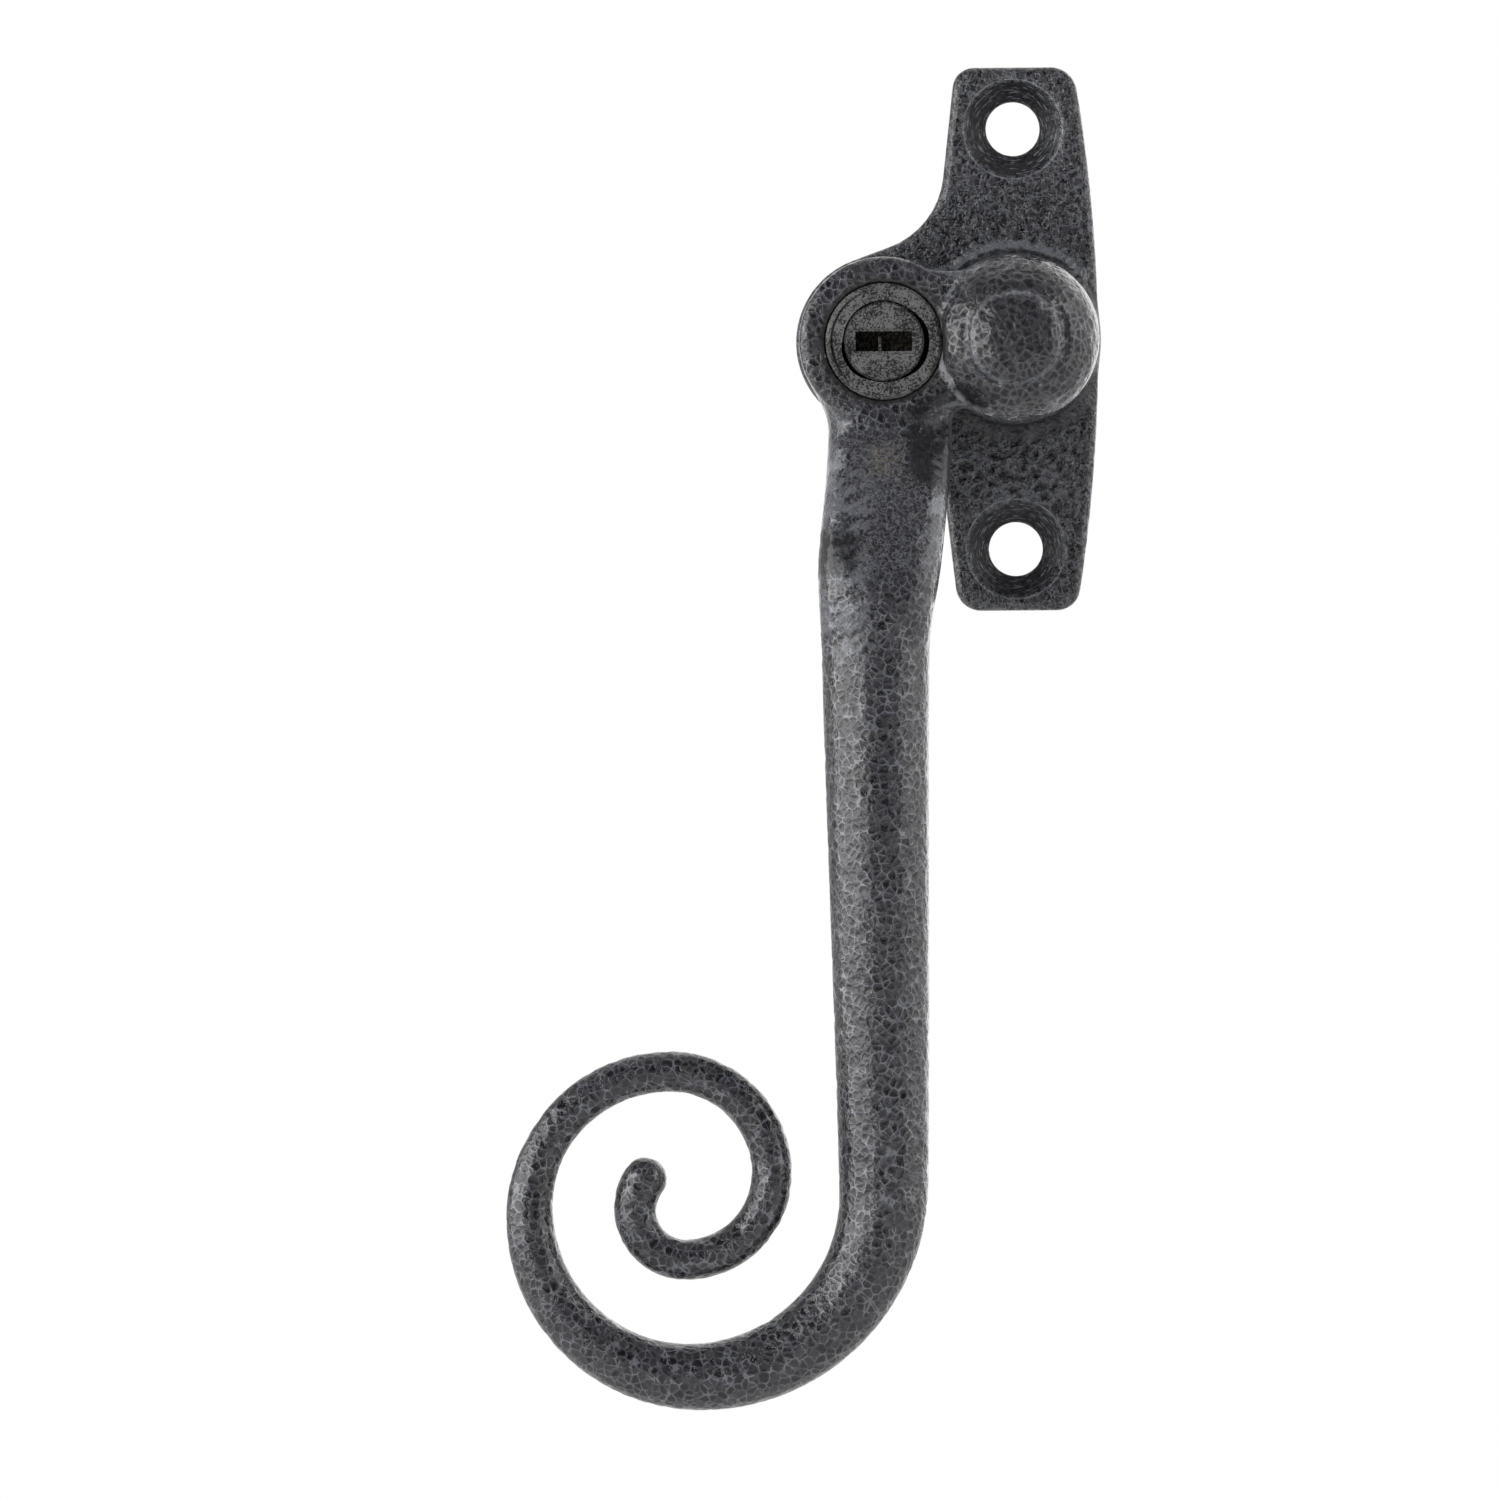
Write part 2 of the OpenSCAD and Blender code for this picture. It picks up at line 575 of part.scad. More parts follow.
// Coil between a wafer's lug and the end of its pocket
module wafer_spring(i) {
    wire = 0.08;
    coil_r = 0.34;
    turns = 4;
    steps = 40;
    length = pocket_l - 2 * wire - 0.02;
    foot = wire + 0.01 - pocket_l;
    rings = [for (k = [0:steps]) let (a = 360 * turns * k / steps, x = foot + length * k / steps)
        [for (b = [0:90:270]) let (r = coil_r + wire * cos(b)) [x - wire * sin(b), r * cos(a), r * sin(a)]]];
    translate([lock_pos[0], lock_pos[1], wafer_low(i) + wafer_t / 2]) rotate([0, 0, i % 2 == 0 ? 180 : 0])
        translate([0, wafer_w / 2 + lug_y / 2, 0]) loft(rings);
}
module wafer_springs() {
    color(steel) for (i = [1:4]) wafer_spring(i);
}

module lock_bolt() {
    bevel = 0.3;
    color(steel) translate([lock_pos[0], lock_pos[1], 0]) difference() {
        rotate_extrude() polygon([[0, bolt_tip], [bolt_r - bevel, bolt_tip], [bolt_r, bolt_tip + bevel],
            [bolt_r, bolt_top], [0, bolt_top]]);
        translate([-chamber_r, 0, pin_z]) rotate([0, 90, 0])
            cylinder(r = cam_pin_r + fixed, h = 2 * chamber_r);
    }
}

module cam_pin() {
    color(steel) translate([lock_pos[0] - pin_half, lock_pos[1], pin_z]) rotate([0, 90, 0])
        cylinder(r = cam_pin_r, h = 2 * pin_half);
}

rotate([90, 0, 0]) {
    backplate();
    pivot_bush();
    thrust_washer();
    wave_washer();
    retaining_ring();
    handle();
    spindle();
    spindle_grub_screw();
    lock_barrel();
    barrel_pin();
    guide_bush();
    lock_plug();
    plug_clip();
    wafer_1();
    wafer_2();
    wafer_3();
    wafer_4();
    wafer_springs();
    lock_bolt();
    cam_pin();
}
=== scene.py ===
"""Looks of a casement window fastener: a cranked lever with a scroll tail, key lock and backplate.

Sizes are in millimetres in the drawing frame: x to the right, y up, z towards the room, with
z = 0 on the back of the plate and the pivot axis through the origin. Meshes are written in metres
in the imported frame, where the front faces -Y and +Z is up.
"""

import json
import logging
import math
from collections.abc import Callable
from dataclasses import dataclass, field
from enum import Enum
from functools import cached_property, partial, reduce

import bpy
import numpy as np
from mathutils import Euler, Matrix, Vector

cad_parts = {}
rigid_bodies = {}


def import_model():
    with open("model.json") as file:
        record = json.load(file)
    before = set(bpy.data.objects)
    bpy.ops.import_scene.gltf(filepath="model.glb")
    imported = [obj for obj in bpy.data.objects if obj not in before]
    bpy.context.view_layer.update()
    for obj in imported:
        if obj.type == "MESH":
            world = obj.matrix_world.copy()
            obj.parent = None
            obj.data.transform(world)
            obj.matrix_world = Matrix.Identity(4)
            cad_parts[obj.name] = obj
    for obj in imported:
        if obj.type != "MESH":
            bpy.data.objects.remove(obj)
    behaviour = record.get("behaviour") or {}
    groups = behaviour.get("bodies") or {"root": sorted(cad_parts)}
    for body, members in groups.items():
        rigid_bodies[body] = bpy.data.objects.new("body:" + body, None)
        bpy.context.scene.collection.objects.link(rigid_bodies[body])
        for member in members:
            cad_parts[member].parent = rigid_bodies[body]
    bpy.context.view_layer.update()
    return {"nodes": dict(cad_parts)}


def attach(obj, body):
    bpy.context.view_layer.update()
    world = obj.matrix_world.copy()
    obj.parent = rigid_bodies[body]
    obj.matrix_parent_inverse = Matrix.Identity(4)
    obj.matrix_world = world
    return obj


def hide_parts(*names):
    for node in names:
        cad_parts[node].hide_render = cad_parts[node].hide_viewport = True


LOG = logging.getLogger("fastener")
MM = 0.001  # a millimetre in metres
FAR = 50.0  # past every surface
BLOCK = 4  # grid nodes along a block's side
NEAR_STEPS = 5.5  # grid steps from the surface within which a block is sampled in full
REACH = 0.8  # how far under and over a surface its edges and creases are felt
ROUNDS = 3  # times a mesh is evened out and drawn back to its surface
LEAST_STEEP = 0.2  # least square of a distance's slope that is trusted
PRIMES = (73856093, 19349663, 83492791)
SEED_PRIME = 2654435761
STIRS = ((15, 2246822519), (13, 3266489917))
ARMS = np.array([(1, -1, -1), (-1, -1, 1), (-1, 1, -1), (1, 1, 1)], float)  # where a slope is felt
PIVOT = (0.0, 0.0)
Array = np.ndarray
Distance = Callable[[Array], Array]
Pair = tuple[float, float]
Point = tuple[float, float, float]
Colour = tuple[float, float, float]
Node = bpy.types.Node
Socket = bpy.types.NodeSocket
Sockets = dict[str, Socket]
Inputs = dict[str | int, object]
Tree = bpy.types.NodeTree
Material = bpy.types.Material
Piece = bpy.types.Object


class Body(str, Enum):
    """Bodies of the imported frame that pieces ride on."""

    PLATE = "plate"
    HANDLE = "handle"


class Slot(str, Enum):
    """Material slots named in the record."""

    IRON_PLATE = "iron_plate"
    IRON_HANDLE = "iron_handle"
    LOCK_ZINC = "lock_zinc"


class Cells(str, Enum):
    """Which distance of a cell texture is read."""

    NEAREST = "F1"
    EDGE = "DISTANCE_TO_EDGE"


# Shapes as distances


def smooth_step(value: Array, low: float, high: float) -> Array:
    """Rise from 0 at low to 1 at high along 3t^2 - 2t^3."""
    t = np.clip((value - low) / (high - low), 0.0, 1.0)
    return t * t * (3.0 - 2.0 * t)


def fall(value: Array, low: float, high: float) -> Array:
    """Fall from 1 at low to 0 at high: one less the smooth rise."""
    return 1.0 - smooth_step(value, low, high)


def between(value: Array, low: Pair, high: Pair) -> Array:
    """Rise over the low pair and fall over the high pair: the product of the two."""
    return smooth_step(value, *low) * fall(value, *high)


def from_axis(p: Array, axis: Pair = PIVOT) -> Array:
    """How far each point stands from an upright axis."""
    return np.hypot(p[:, 0] - axis[0], p[:, 1] - axis[1])


def join(a: Array, b: Array, fillet: float) -> Array:
    """Union of two solids with a fillet: min(a, b) - h^2 / (4 fillet), h = fillet - |a - b|."""
    h = np.maximum(fillet - np.abs(a - b), 0.0)
    return np.minimum(a, b) - h * h / (4.0 * fillet)


def cut(a: Array, tool: Array, edge: float) -> Array:
    """Solid a with a tool cut out of it and the new edge rounded, as the union of their outsides."""
    return -join(-a, tool, edge)


def rounded_corner(a: Array, b: Array, radius: float) -> Array:
    """Part common to two half spaces, with the edge between them rounded to a true radius."""
    u, v = a + radius, b + radius
    return np.minimum(np.maximum(u, v), 0.0) + np.hypot(np.maximum(u, 0.0), np.maximum(v, 0.0)) - radius


def outline_distance(u: Array, v: Array, outline: Array) -> Array:
    """Distance to a closed outline, negative inside: the least distance to its sides.

    Args:
        u: First coordinate of each point.
        v: Second coordinate of each point.
        outline: Corners of the outline, one row each.

    Returns:
        The signed distances.
    """
    best = np.full(u.shape, np.inf)
    inside = np.zeros(u.shape, bool)
    for (au, av), (bu, bv) in zip(outline, np.roll(outline, -1, axis=0)):
        eu, ev = bu - au, bv - av
        du, dv = u - au, v - av
        t = np.clip((du * eu + dv * ev) / (eu * eu + ev * ev), 0.0, 1.0)
        best = np.minimum(best, (du - t * eu) ** 2 + (dv - t * ev) ** 2)
        if ev != 0.0:
            inside ^= ((av > v) != (bv > v)) & (du < eu * dv / ev)
    return np.where(inside, -1.0, 1.0) * np.sqrt(best)


def turned(p: Array, axis: Pair, profile: Array) -> Array:
    """Distance to a profile of (radius, height) corners, closed past the axis, turned round it."""
    return outline_distance(from_axis(p, axis), p[:, 2], profile)


def bored(p: Array, axis: Pair, radius: float, low: float, high: float) -> Array:
    """Distance to an upright cylinder: the greatest of those to its wall and to its two ends."""
    wall = from_axis(p, axis) - radius
    return np.maximum(wall, np.maximum(low - p[:, 2], p[:, 2] - high))


def block(p: Array, low: Point, high: Point) -> Array:
    """Distance to a box between two corners: the greatest distance to its six faces."""
    return np.maximum(np.array(low) - p, p - np.array(high)).max(axis=1)


def scaled_round(off: Array, half: Array, power: Array | float = 2.0) -> Array:
    """Near distance to an oval: (k - 1) over the slope of k, the power mean of off / half.

    Args:
        off: How far each point stands from the middle along the axes.
        half: Half axes of the oval.
        power: Two for an ellipse, more for a squarer oval.

    Returns:
        The signed distances.
    """
    near = np.maximum(np.abs(off), 1e-4) / half
    k = (near**power).sum(axis=1) ** (1.0 / np.squeeze(power))
    rate = near ** (power - 1.0) / half
    return (k - 1.0) * k ** (np.squeeze(power) - 1.0) / np.sqrt((rate * rate).sum(axis=1))


# Meshes from distances


@dataclass
class Casting:
    """Mesh of a cast piece, with numbers from 0 up that mark places on it for its paint."""

    points: Array
    quads: Array
    marks: dict[str, Array] = field(default_factory=dict)


def evaluated(distance: Distance, points: Array, chunk: int = 120_000) -> Array:
    """Distance at many points, a chunk of them at a time to spare memory."""
    return np.concatenate([distance(points[i:i + chunk]) for i in range(0, len(points), chunk)])


def sampled(distance: Distance, low: Array, high: Array, step: float) -> Array:
    """Distances on a regular grid, exact near the surface and coarse elsewhere.

    Args:
        distance: The function to sample.
        low: Lowest corner of the grid.
        high: Highest corner of the grid.
        step: Spacing of the grid.

    Returns:
        A grid of distances.
    """
    count = np.ceil((high - low) / (step * BLOCK)).astype(int)
    index = np.stack(np.meshgrid(*[np.arange(n) for n in count], indexing="ij"), axis=-1).reshape(-1, 3)
    coarse = evaluated(distance, low + (index * BLOCK + (BLOCK - 1) / 2) * step)
    near = np.abs(coarse) < NEAR_STEPS * step
    grid = coarse.reshape(count).astype(np.float32)
    for axis in range(3):
        grid = grid.repeat(BLOCK, axis=axis)
    inner = np.stack(np.meshgrid(*[np.arange(BLOCK)] * 3, indexing="ij"), axis=-1).reshape(1, -1, 3)
    nodes = low + (index[near][:, None, :] * BLOCK + inner) * step
    values = evaluated(distance, nodes.reshape(-1, 3)).astype(np.float32)
    shape = [n for c in count for n in (c, BLOCK)]
    blocks = grid.reshape(shape).transpose(0, 2, 4, 1, 3, 5)
    blocks[near.reshape(count)] = values.reshape(-1, BLOCK, BLOCK, BLOCK)
    return grid


def surface_net(grid: Array, low: Array, step: float) -> tuple[Array, Array]:
    """Closed quad mesh of the zero level: a vertex in each crossed cell, a face round each crossed edge.

    Args:
        grid: Distances on a regular grid.
        low: Lowest corner of the grid.
        step: Spacing of the grid.

    Returns:
        Vertices and quads.
    """
    inside = grid < 0.0
    size = np.array(grid.shape) - 1
    corner = np.stack(np.meshgrid([0, 1], [0, 1], [0, 1], indexing="ij"), axis=-1).reshape(-1, 3)
    full = sum(inside[a:a + size[0], b:b + size[1], c:c + size[2]].astype(np.uint8) for a, b, c in corner)
    crossed = (full > 0) & (full < len(corner))
    cells = np.argwhere(crossed)
    number = np.full(crossed.shape, -1, np.int32)
    number[crossed] = np.arange(len(cells))
    value = grid[tuple((cells[:, None, :] + corner).transpose(2, 0, 1))]
    pairs = np.argwhere(np.abs(corner[:, None] - corner).sum(axis=2) == 1)
    start, end = pairs[pairs[:, 0] < pairs[:, 1]].T
    va, vb = value[:, start], value[:, end]
    hit = (va < 0.0) != (vb < 0.0)
    t = np.where(hit, va / np.where(hit, va - vb, 1.0), 0.0)
    spot = corner[start] + t[:, :, None] * (corner[end] - corner[start])
    mean = (spot * hit[:, :, None]).sum(axis=1) / hit.sum(axis=1)[:, None]
    quads = []
    unit = np.eye(3, dtype=int)
    for axis in range(3):
        u, v = unit[(axis + 1) % 3], unit[(axis + 2) % 3]
        edge = np.argwhere(np.diff(inside, axis=axis))
        face = np.stack([number[tuple((edge - back).T)] for back in (u + v, v, 0 * u, u)], axis=1)
        outward = inside[tuple(edge.T)]
        quads.append(np.where(outward[:, None], face, face[:, ::-1]))
    return low + (cells + mean) * step, np.concatenate(quads)


def slope(distance: Distance, points: Array, reach: float = 0.03) -> tuple[Array, Array]:
    """Distance and its gradient at each point, from four points that stand off it by reach."""
    level = np.stack([evaluated(distance, points + reach * arm) for arm in ARMS])
    return level.mean(axis=0), np.einsum("kn,kd->nd", level, ARMS) / (4.0 * reach)


def settled(points: Array, quads: Array) -> Array:
    """Vertices moved half way to the mean of their neighbours, which evens out the quads.

    Args:
        points: Vertices, one row each.
        quads: Corner numbers of each quad.

    Returns:
        The moved vertices.
    """
    start, end = quads.ravel(), np.roll(quads, -1, axis=1).ravel()
    a, b = np.concatenate([start, end]), np.concatenate([end, start])
    share = np.maximum(np.bincount(a, minlength=len(points)), 1)
    mean = np.stack([np.bincount(a, points[b, k], len(points)) / share for k in range(3)], axis=1)
    return 0.5 * (points + mean)


def cast(distance: Distance, low: Point, high: Point, step: float, relief: Distance) -> Casting:
    """Mesh of a casting: the zero level of its distance, settled, then raised by its relief.

    Edge is how much nearer than REACH the surface is to a point that deep under a vertex, and crease
    the same for a point that far above it.

    Args:
        distance: Distance of the casting, negative inside.
        low: Lowest corner of the space to search.
        high: Highest corner of the space to search.
        step: Spacing of the mesh.
        relief: Height of the surface's relief at a point.

    Returns:
        The mesh with its marks.
    """
    corner = np.array(low, float)
    points, quads = surface_net(sampled(distance, corner, np.array(high, float), step), corner, step)
    normal = np.zeros_like(points)
    for _ in range(ROUNDS):
        points = settled(points, quads)
        level, normal = slope(distance, points)
        steep = np.maximum((normal * normal).sum(axis=1), LEAST_STEEP)
        points = points - normal * np.clip(level / steep, -step, step)[:, None]
    normal /= np.maximum(np.linalg.norm(normal, axis=1), 1e-6)[:, None]
    edge = 1.0 + evaluated(distance, points - REACH * normal) / REACH
    # Crease: concavity, from which the painted highlight in creases is drawn.
    crease_highlight = 1.0 - evaluated(distance, points + REACH * normal) / REACH
    marks = {"edge": np.clip(edge, 0.0, 1.0), "crease_highlight": np.clip(crease_highlight, 0.0, 1.0)}
    return Casting(points + normal * relief(points)[:, None], quads, marks)


def hashed(cell: Array, seed: int) -> Array:
    """Even pseudo-random numbers from 0 to 1, fixed for each whole-number cell.

    Args:
        cell: Cell numbers, three to a row.
        seed: Which set of numbers.

    Returns:
        One number for each cell.
    """
    a, b, c = (cell.astype(np.int64).astype(np.uint32) * np.array(PRIMES, np.uint32)).T
    h = a ^ b ^ c ^ np.uint32(seed * SEED_PRIME % 2**32)
    for shift, prime in STIRS:
        h = (h ^ (h >> np.uint32(shift))) * np.uint32(prime)
    return (h ^ (h >> np.uint32(16))).astype(float) / 2**32


def hammer_marks(p: Array, pitch: float, line: float = 0.55) -> Array:
    """Shallow dishes between raised lines: 1 - rise of (second - first) distance to scattered points.

    Args:
        p: Points, one row each.
        pitch: Mean spacing of the dishes.
        line: Share of the spacing over which a dish rises to its line.

    Returns:
        Height from 0 in a dish to 1 on a line.
    """
    at = p / pitch
    base = np.floor(at)
    first = np.full(len(p), np.inf)
    second = np.full(len(p), np.inf)
    for offset in np.ndindex(3, 3, 3):
        cell = base + np.array(offset) - 1.0
        spot = cell + np.stack([hashed(cell, seed) for seed in (1, 2, 3)], axis=-1)
        gap = np.linalg.norm(spot - at, axis=1)
        second = np.minimum(second, np.maximum(first, gap))
        first = np.minimum(first, gap)
    return fall(second - first, 0.0, line)


def placed(points: Array) -> Array:
    """Points of the drawing frame, in millimetres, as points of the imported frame, in metres."""
    return np.stack([points[:, 0], -points[:, 2], points[:, 1]], axis=1) * MM


def linked(name: str, data: bpy.types.ID) -> Piece:
    """New object of some data, linked to the scene.

    Args:
        name: Name of the object.
        data: Its mesh, lamp or camera.

    Returns:
        The object.
    """
    obj = bpy.data.objects.new(name, data)
    bpy.context.scene.collection.objects.link(obj)
    return obj


def mesh_object(name: str, shape: Casting, material: Material) -> Piece:
    """Object of one smooth mesh whose place is in its vertices.

    Args:
        name: Name of the object.
        shape: Vertices in the drawing frame, quads and marks.
        material: Its finish.

    Returns:
        The object, linked to the scene.
    """
    mesh, quads = bpy.data.meshes.new(name), shape.quads
    mesh.vertices.add(len(shape.points))
    mesh.vertices.foreach_set("co", placed(shape.points).astype(np.float32).ravel())
    mesh.loops.add(quads.size)
    mesh.loops.foreach_set("vertex_index", quads.astype(np.int32).ravel())
    mesh.polygons.add(len(quads))
    mesh.polygons.foreach_set("loop_start", np.arange(0, quads.size, 4, dtype=np.int32))
    mesh.update(calc_edges=True)
    mesh.validate()
    mesh.shade_smooth()
    for mark, values in shape.marks.items():
        mesh.attributes.new(mark, "FLOAT", "POINT").data.foreach_set("value", values.astype(np.float32))
    mesh.materials.append(material)
    return linked(name, mesh)


# Materials


def outputs_of(node: Node) -> Sockets:
    """Outputs of a node by name."""
    return {socket.name: socket for socket in node.outputs}


class Nodes:
    """Short ways to add nodes to one node tree."""

    def __init__(self, tree: Tree) -> None:
        """Keep the tree that nodes go into."""
        self.tree = tree

    def feed(self, node: Node, inputs: Inputs) -> None:
        """Link sockets to a node's inputs, or set the inputs to numbers or colours.

        Args:
            node: The node.
            inputs: Sockets, numbers or colours, by the name or number of the input.
        """
        for key, value in inputs.items():
            socket = node.inputs[key]
            if isinstance(value, Socket):
                self.tree.links.new(value, socket)
            elif isinstance(value, tuple) and socket.type == "RGBA":
                socket.default_value = (*value, 1.0)
            else:
                socket.default_value = value

    def add(self, kind: str, inputs: Inputs | None = None, **settings: object) -> Node:
        """Add a node, set its properties and feed its inputs.

        Args:
            kind: Blender's name of the node.
            inputs: Sockets, numbers or colours for its inputs.
            **settings: Properties of the node.

        Returns:
            The node.
        """
        node = self.tree.nodes.new(kind)
        for name, value in settings.items():
            setattr(node, name, value)
        self.feed(node, inputs or {})
        return node

    def math(self, operation: str, *values: object) -> Socket:
        """Result of an operation, by Blender's name for it, on up to three values."""
        return self.add("ShaderNodeMath", dict(enumerate(values)), operation=operation).outputs[0]

    def times(self, *factors: object) -> Socket:
        """Product of two or more values."""
        return reduce(partial(self.math, "MULTIPLY"), factors)

    def rise(self, value: object, low: object, high: object, a: object = 0.0, b: object = 1.0) -> Socket:
        """Smooth rise from a, where the value is low, to b, where it is high."""
        inputs = dict(enumerate((value, low, high, a, b)))
        return self.add("ShaderNodeMapRange", inputs, interpolation_type="SMOOTHSTEP").outputs[0]

    def ease(self, mask: object, a: object, b: object) -> Socket:
        """Smooth change from a to b as a mask goes from 0 to 1."""
        return self.rise(mask, 0.0, 1.0, a, b)

    def mix(self, share: object, a: object, b: object) -> Socket:
        """Colour a with a share of colour b mixed in."""
        return self.add("ShaderNodeMix", {0: share, 6: a, 7: b}, data_type="RGBA").outputs[2]

    def mark(self, name: str) -> Socket:
        """Value of a mark of the mesh."""
        return self.add("ShaderNodeAttribute", attribute_name=name).outputs["Fac"]

    def noise(self, vector: object, scale: object, detail: float = 2.0, rough: float = 0.5,
              output: str = "Fac") -> Socket:
        """Cloudy noise, scale clouds to a metre, with detail finer layers as strong as rough."""
        inputs = {"Vector": vector, "Scale": scale, "Detail": detail, "Roughness": rough}
        return self.add("ShaderNodeTexNoise", inputs).outputs[output]

    def cells(self, vector: object, scale: object, kind: Cells) -> Sockets:
        """Cell texture, scale cells to a metre, with the kind of distance that is wanted."""
        inputs = {"Vector": vector, "Scale": scale}
        return outputs_of(self.add("ShaderNodeTexVoronoi", inputs, feature=kind.value))

    def on_vectors(self, operation: str, inputs: Inputs) -> Socket:
        """Result of an operation, by Blender's name for it, on vectors."""
        return self.add("ShaderNodeVectorMath", inputs, operation=operation).outputs[0]

    def shift(self, vector: Socket, noise: Socket, amount: Socket) -> Socket:
        """Vector pushed about by a noise colour: the colour less its middle, times the amount, added."""
        centred = self.on_vectors("SUBTRACT", {0: noise, 1: (0.5, 0.5, 0.5)})
        return self.on_vectors("ADD", {0: vector, 1: self.on_vectors("SCALE", {0: centred, "Scale": amount})})

    def group(self, tree: Tree, **inputs: object) -> Sockets:
        """Outputs of a node group that is placed with the given inputs."""
        return outputs_of(self.add("ShaderNodeGroup", inputs, node_tree=tree))

    def bump(self, height: Socket, strength: float, distance: float) -> Socket:
        """Normal bumped by a height, whose unit is a distance in millimetres."""
        inputs = {"Strength": strength, "Distance": distance * MM, "Height": height}
        return self.add("ShaderNodeBump", inputs).outputs["Normal"]


class Effects:
    """Surface effects that more than one finish uses, each a node group built once."""

    @staticmethod
    def start(name: str, *labels: str) -> tuple[Nodes, list[Socket]]:
        """Open a new group with the inputs Vector, Scale and others.

        Args:
            name: Name of the group.
            *labels: Names of its other inputs.

        Returns:
            The group's nodes and its inputs.
        """
        nodes = Nodes(bpy.data.node_groups.new(name, "ShaderNodeTree"))
        names = ("Vector", "Scale", *labels)
        for label in names:
            kind = "NodeSocketVector" if label == "Vector" else "NodeSocketFloat"
            nodes.tree.interface.new_socket(label, in_out="INPUT", socket_type=kind)
        given = nodes.add("NodeGroupInput").outputs
        return nodes, [given[label] for label in names]

    @staticmethod
    def close(nodes: Nodes, results: Sockets) -> Tree:
        """Give a group its outputs, all plain values.

        Args:
            nodes: The group's nodes.
            results: What each output gives.

        Returns:
            The group.
        """
        for label in results:
            nodes.tree.interface.new_socket(label, in_out="OUTPUT", socket_type="NodeSocketFloat")
        nodes.add("NodeGroupOutput", results)
        return nodes.tree

    @cached_property
    def hammered(self) -> Tree:
        """Dished cells with a net of raised lines between them, which widen at the cells' corners.

        Returns:
            The group, with Net, Dish, Tone and Height.
        """
        nodes, (vector, scale, wander, width) = self.start("hammered_cells", "Wander", "Line")
        loose = nodes.noise(vector, nodes.times(scale, 1.3), 2.0, 0.6, "Color")
        moved = nodes.shift(vector, loose, wander)
        edge = nodes.cells(moved, scale, Cells.EDGE)["Distance"]
        near = nodes.cells(moved, scale, Cells.NEAREST)
        tone = nodes.add("ShaderNodeSeparateColor", {0: near["Color"]}).outputs[0]
        faint = nodes.noise(vector, nodes.times(scale, 0.7), 1.0)
        corner = nodes.rise(near["Distance"], 0.55, 0.8, 1.0, 2.2)
        line = nodes.rise(edge, 0.0, nodes.times(width, corner), 1.0, 0.0)
        return self.close(nodes, {
            "Net": nodes.times(line, nodes.rise(faint, 0.38, 0.6, 0.15, 1.0)),
            "Dish": nodes.rise(edge, 0.05, 0.26),
            "Tone": nodes.rise(tone, 0.1, 0.8, 0.15, 1.0),
            "Height": nodes.rise(edge, 0.0, 0.42, 1.0, 0.0)})

    @cached_property
    def crumpled(self) -> Tree:
        """Fine wormy wrinkles: one less the fold of a noise about its middle.

        Returns:
            The group, with Ridge, Pit and Fold.
        """
        nodes, (vector, scale) = self.start("crumpled_skin")
        coarse = nodes.noise(vector, scale, 1.5, 0.6)
        fold = nodes.math("ABSOLUTE", nodes.math("SUBTRACT", coarse, 0.5))
        hollow = nodes.noise(vector, nodes.times(scale, 1.3), 1.0, 0.5)
        return self.close(nodes, {
            "Ridge": nodes.rise(fold, 0.0, 0.07, 1.0, 0.0),
            "Pit": nodes.rise(hollow, 0.40, 0.54, 1.0, 0.0),
            "Fold": coarse})

    @cached_property
    def grained(self) -> Tree:
        """Fine grain, slow patches, and dark specks that gather in the patches.

        Returns:
            The group, with Grain, Speck and Patch.
        """
        nodes, (vector, scale, patches, specks) = self.start("fine_grain", "Patches", "Specks")
        grain = nodes.noise(vector, scale, 4.0, 0.6)
        fleck = nodes.noise(vector, nodes.times(scale, 0.55), 2.0, 0.7)
        patch = nodes.rise(nodes.noise(vector, patches, 2.0, 0.5), 0.36, 0.64)
        reach = nodes.times(specks, nodes.math("MULTIPLY_ADD", patch, 0.08, 0.12))
        start = nodes.math("SUBTRACT", 0.66, reach)
        speck = nodes.rise(fleck, start, nodes.math("ADD", start, 0.06))
        return self.close(nodes, {"Grain": grain, "Speck": speck, "Patch": patch})


def material_start(name: str) -> tuple[Material, Nodes, Node, Socket]:
    """New material with its surface shader and its Object coordinates.

    Args:
        name: Name of the material.

    Returns:
        The material, its nodes, the shader and the coordinates.
    """
    material = bpy.data.materials.new(name)
    material.use_nodes = True
    nodes = Nodes(material.node_tree)
    where = nodes.add("ShaderNodeTexCoord").outputs["Object"]
    return material, nodes, material.node_tree.nodes["Principled BSDF"], where


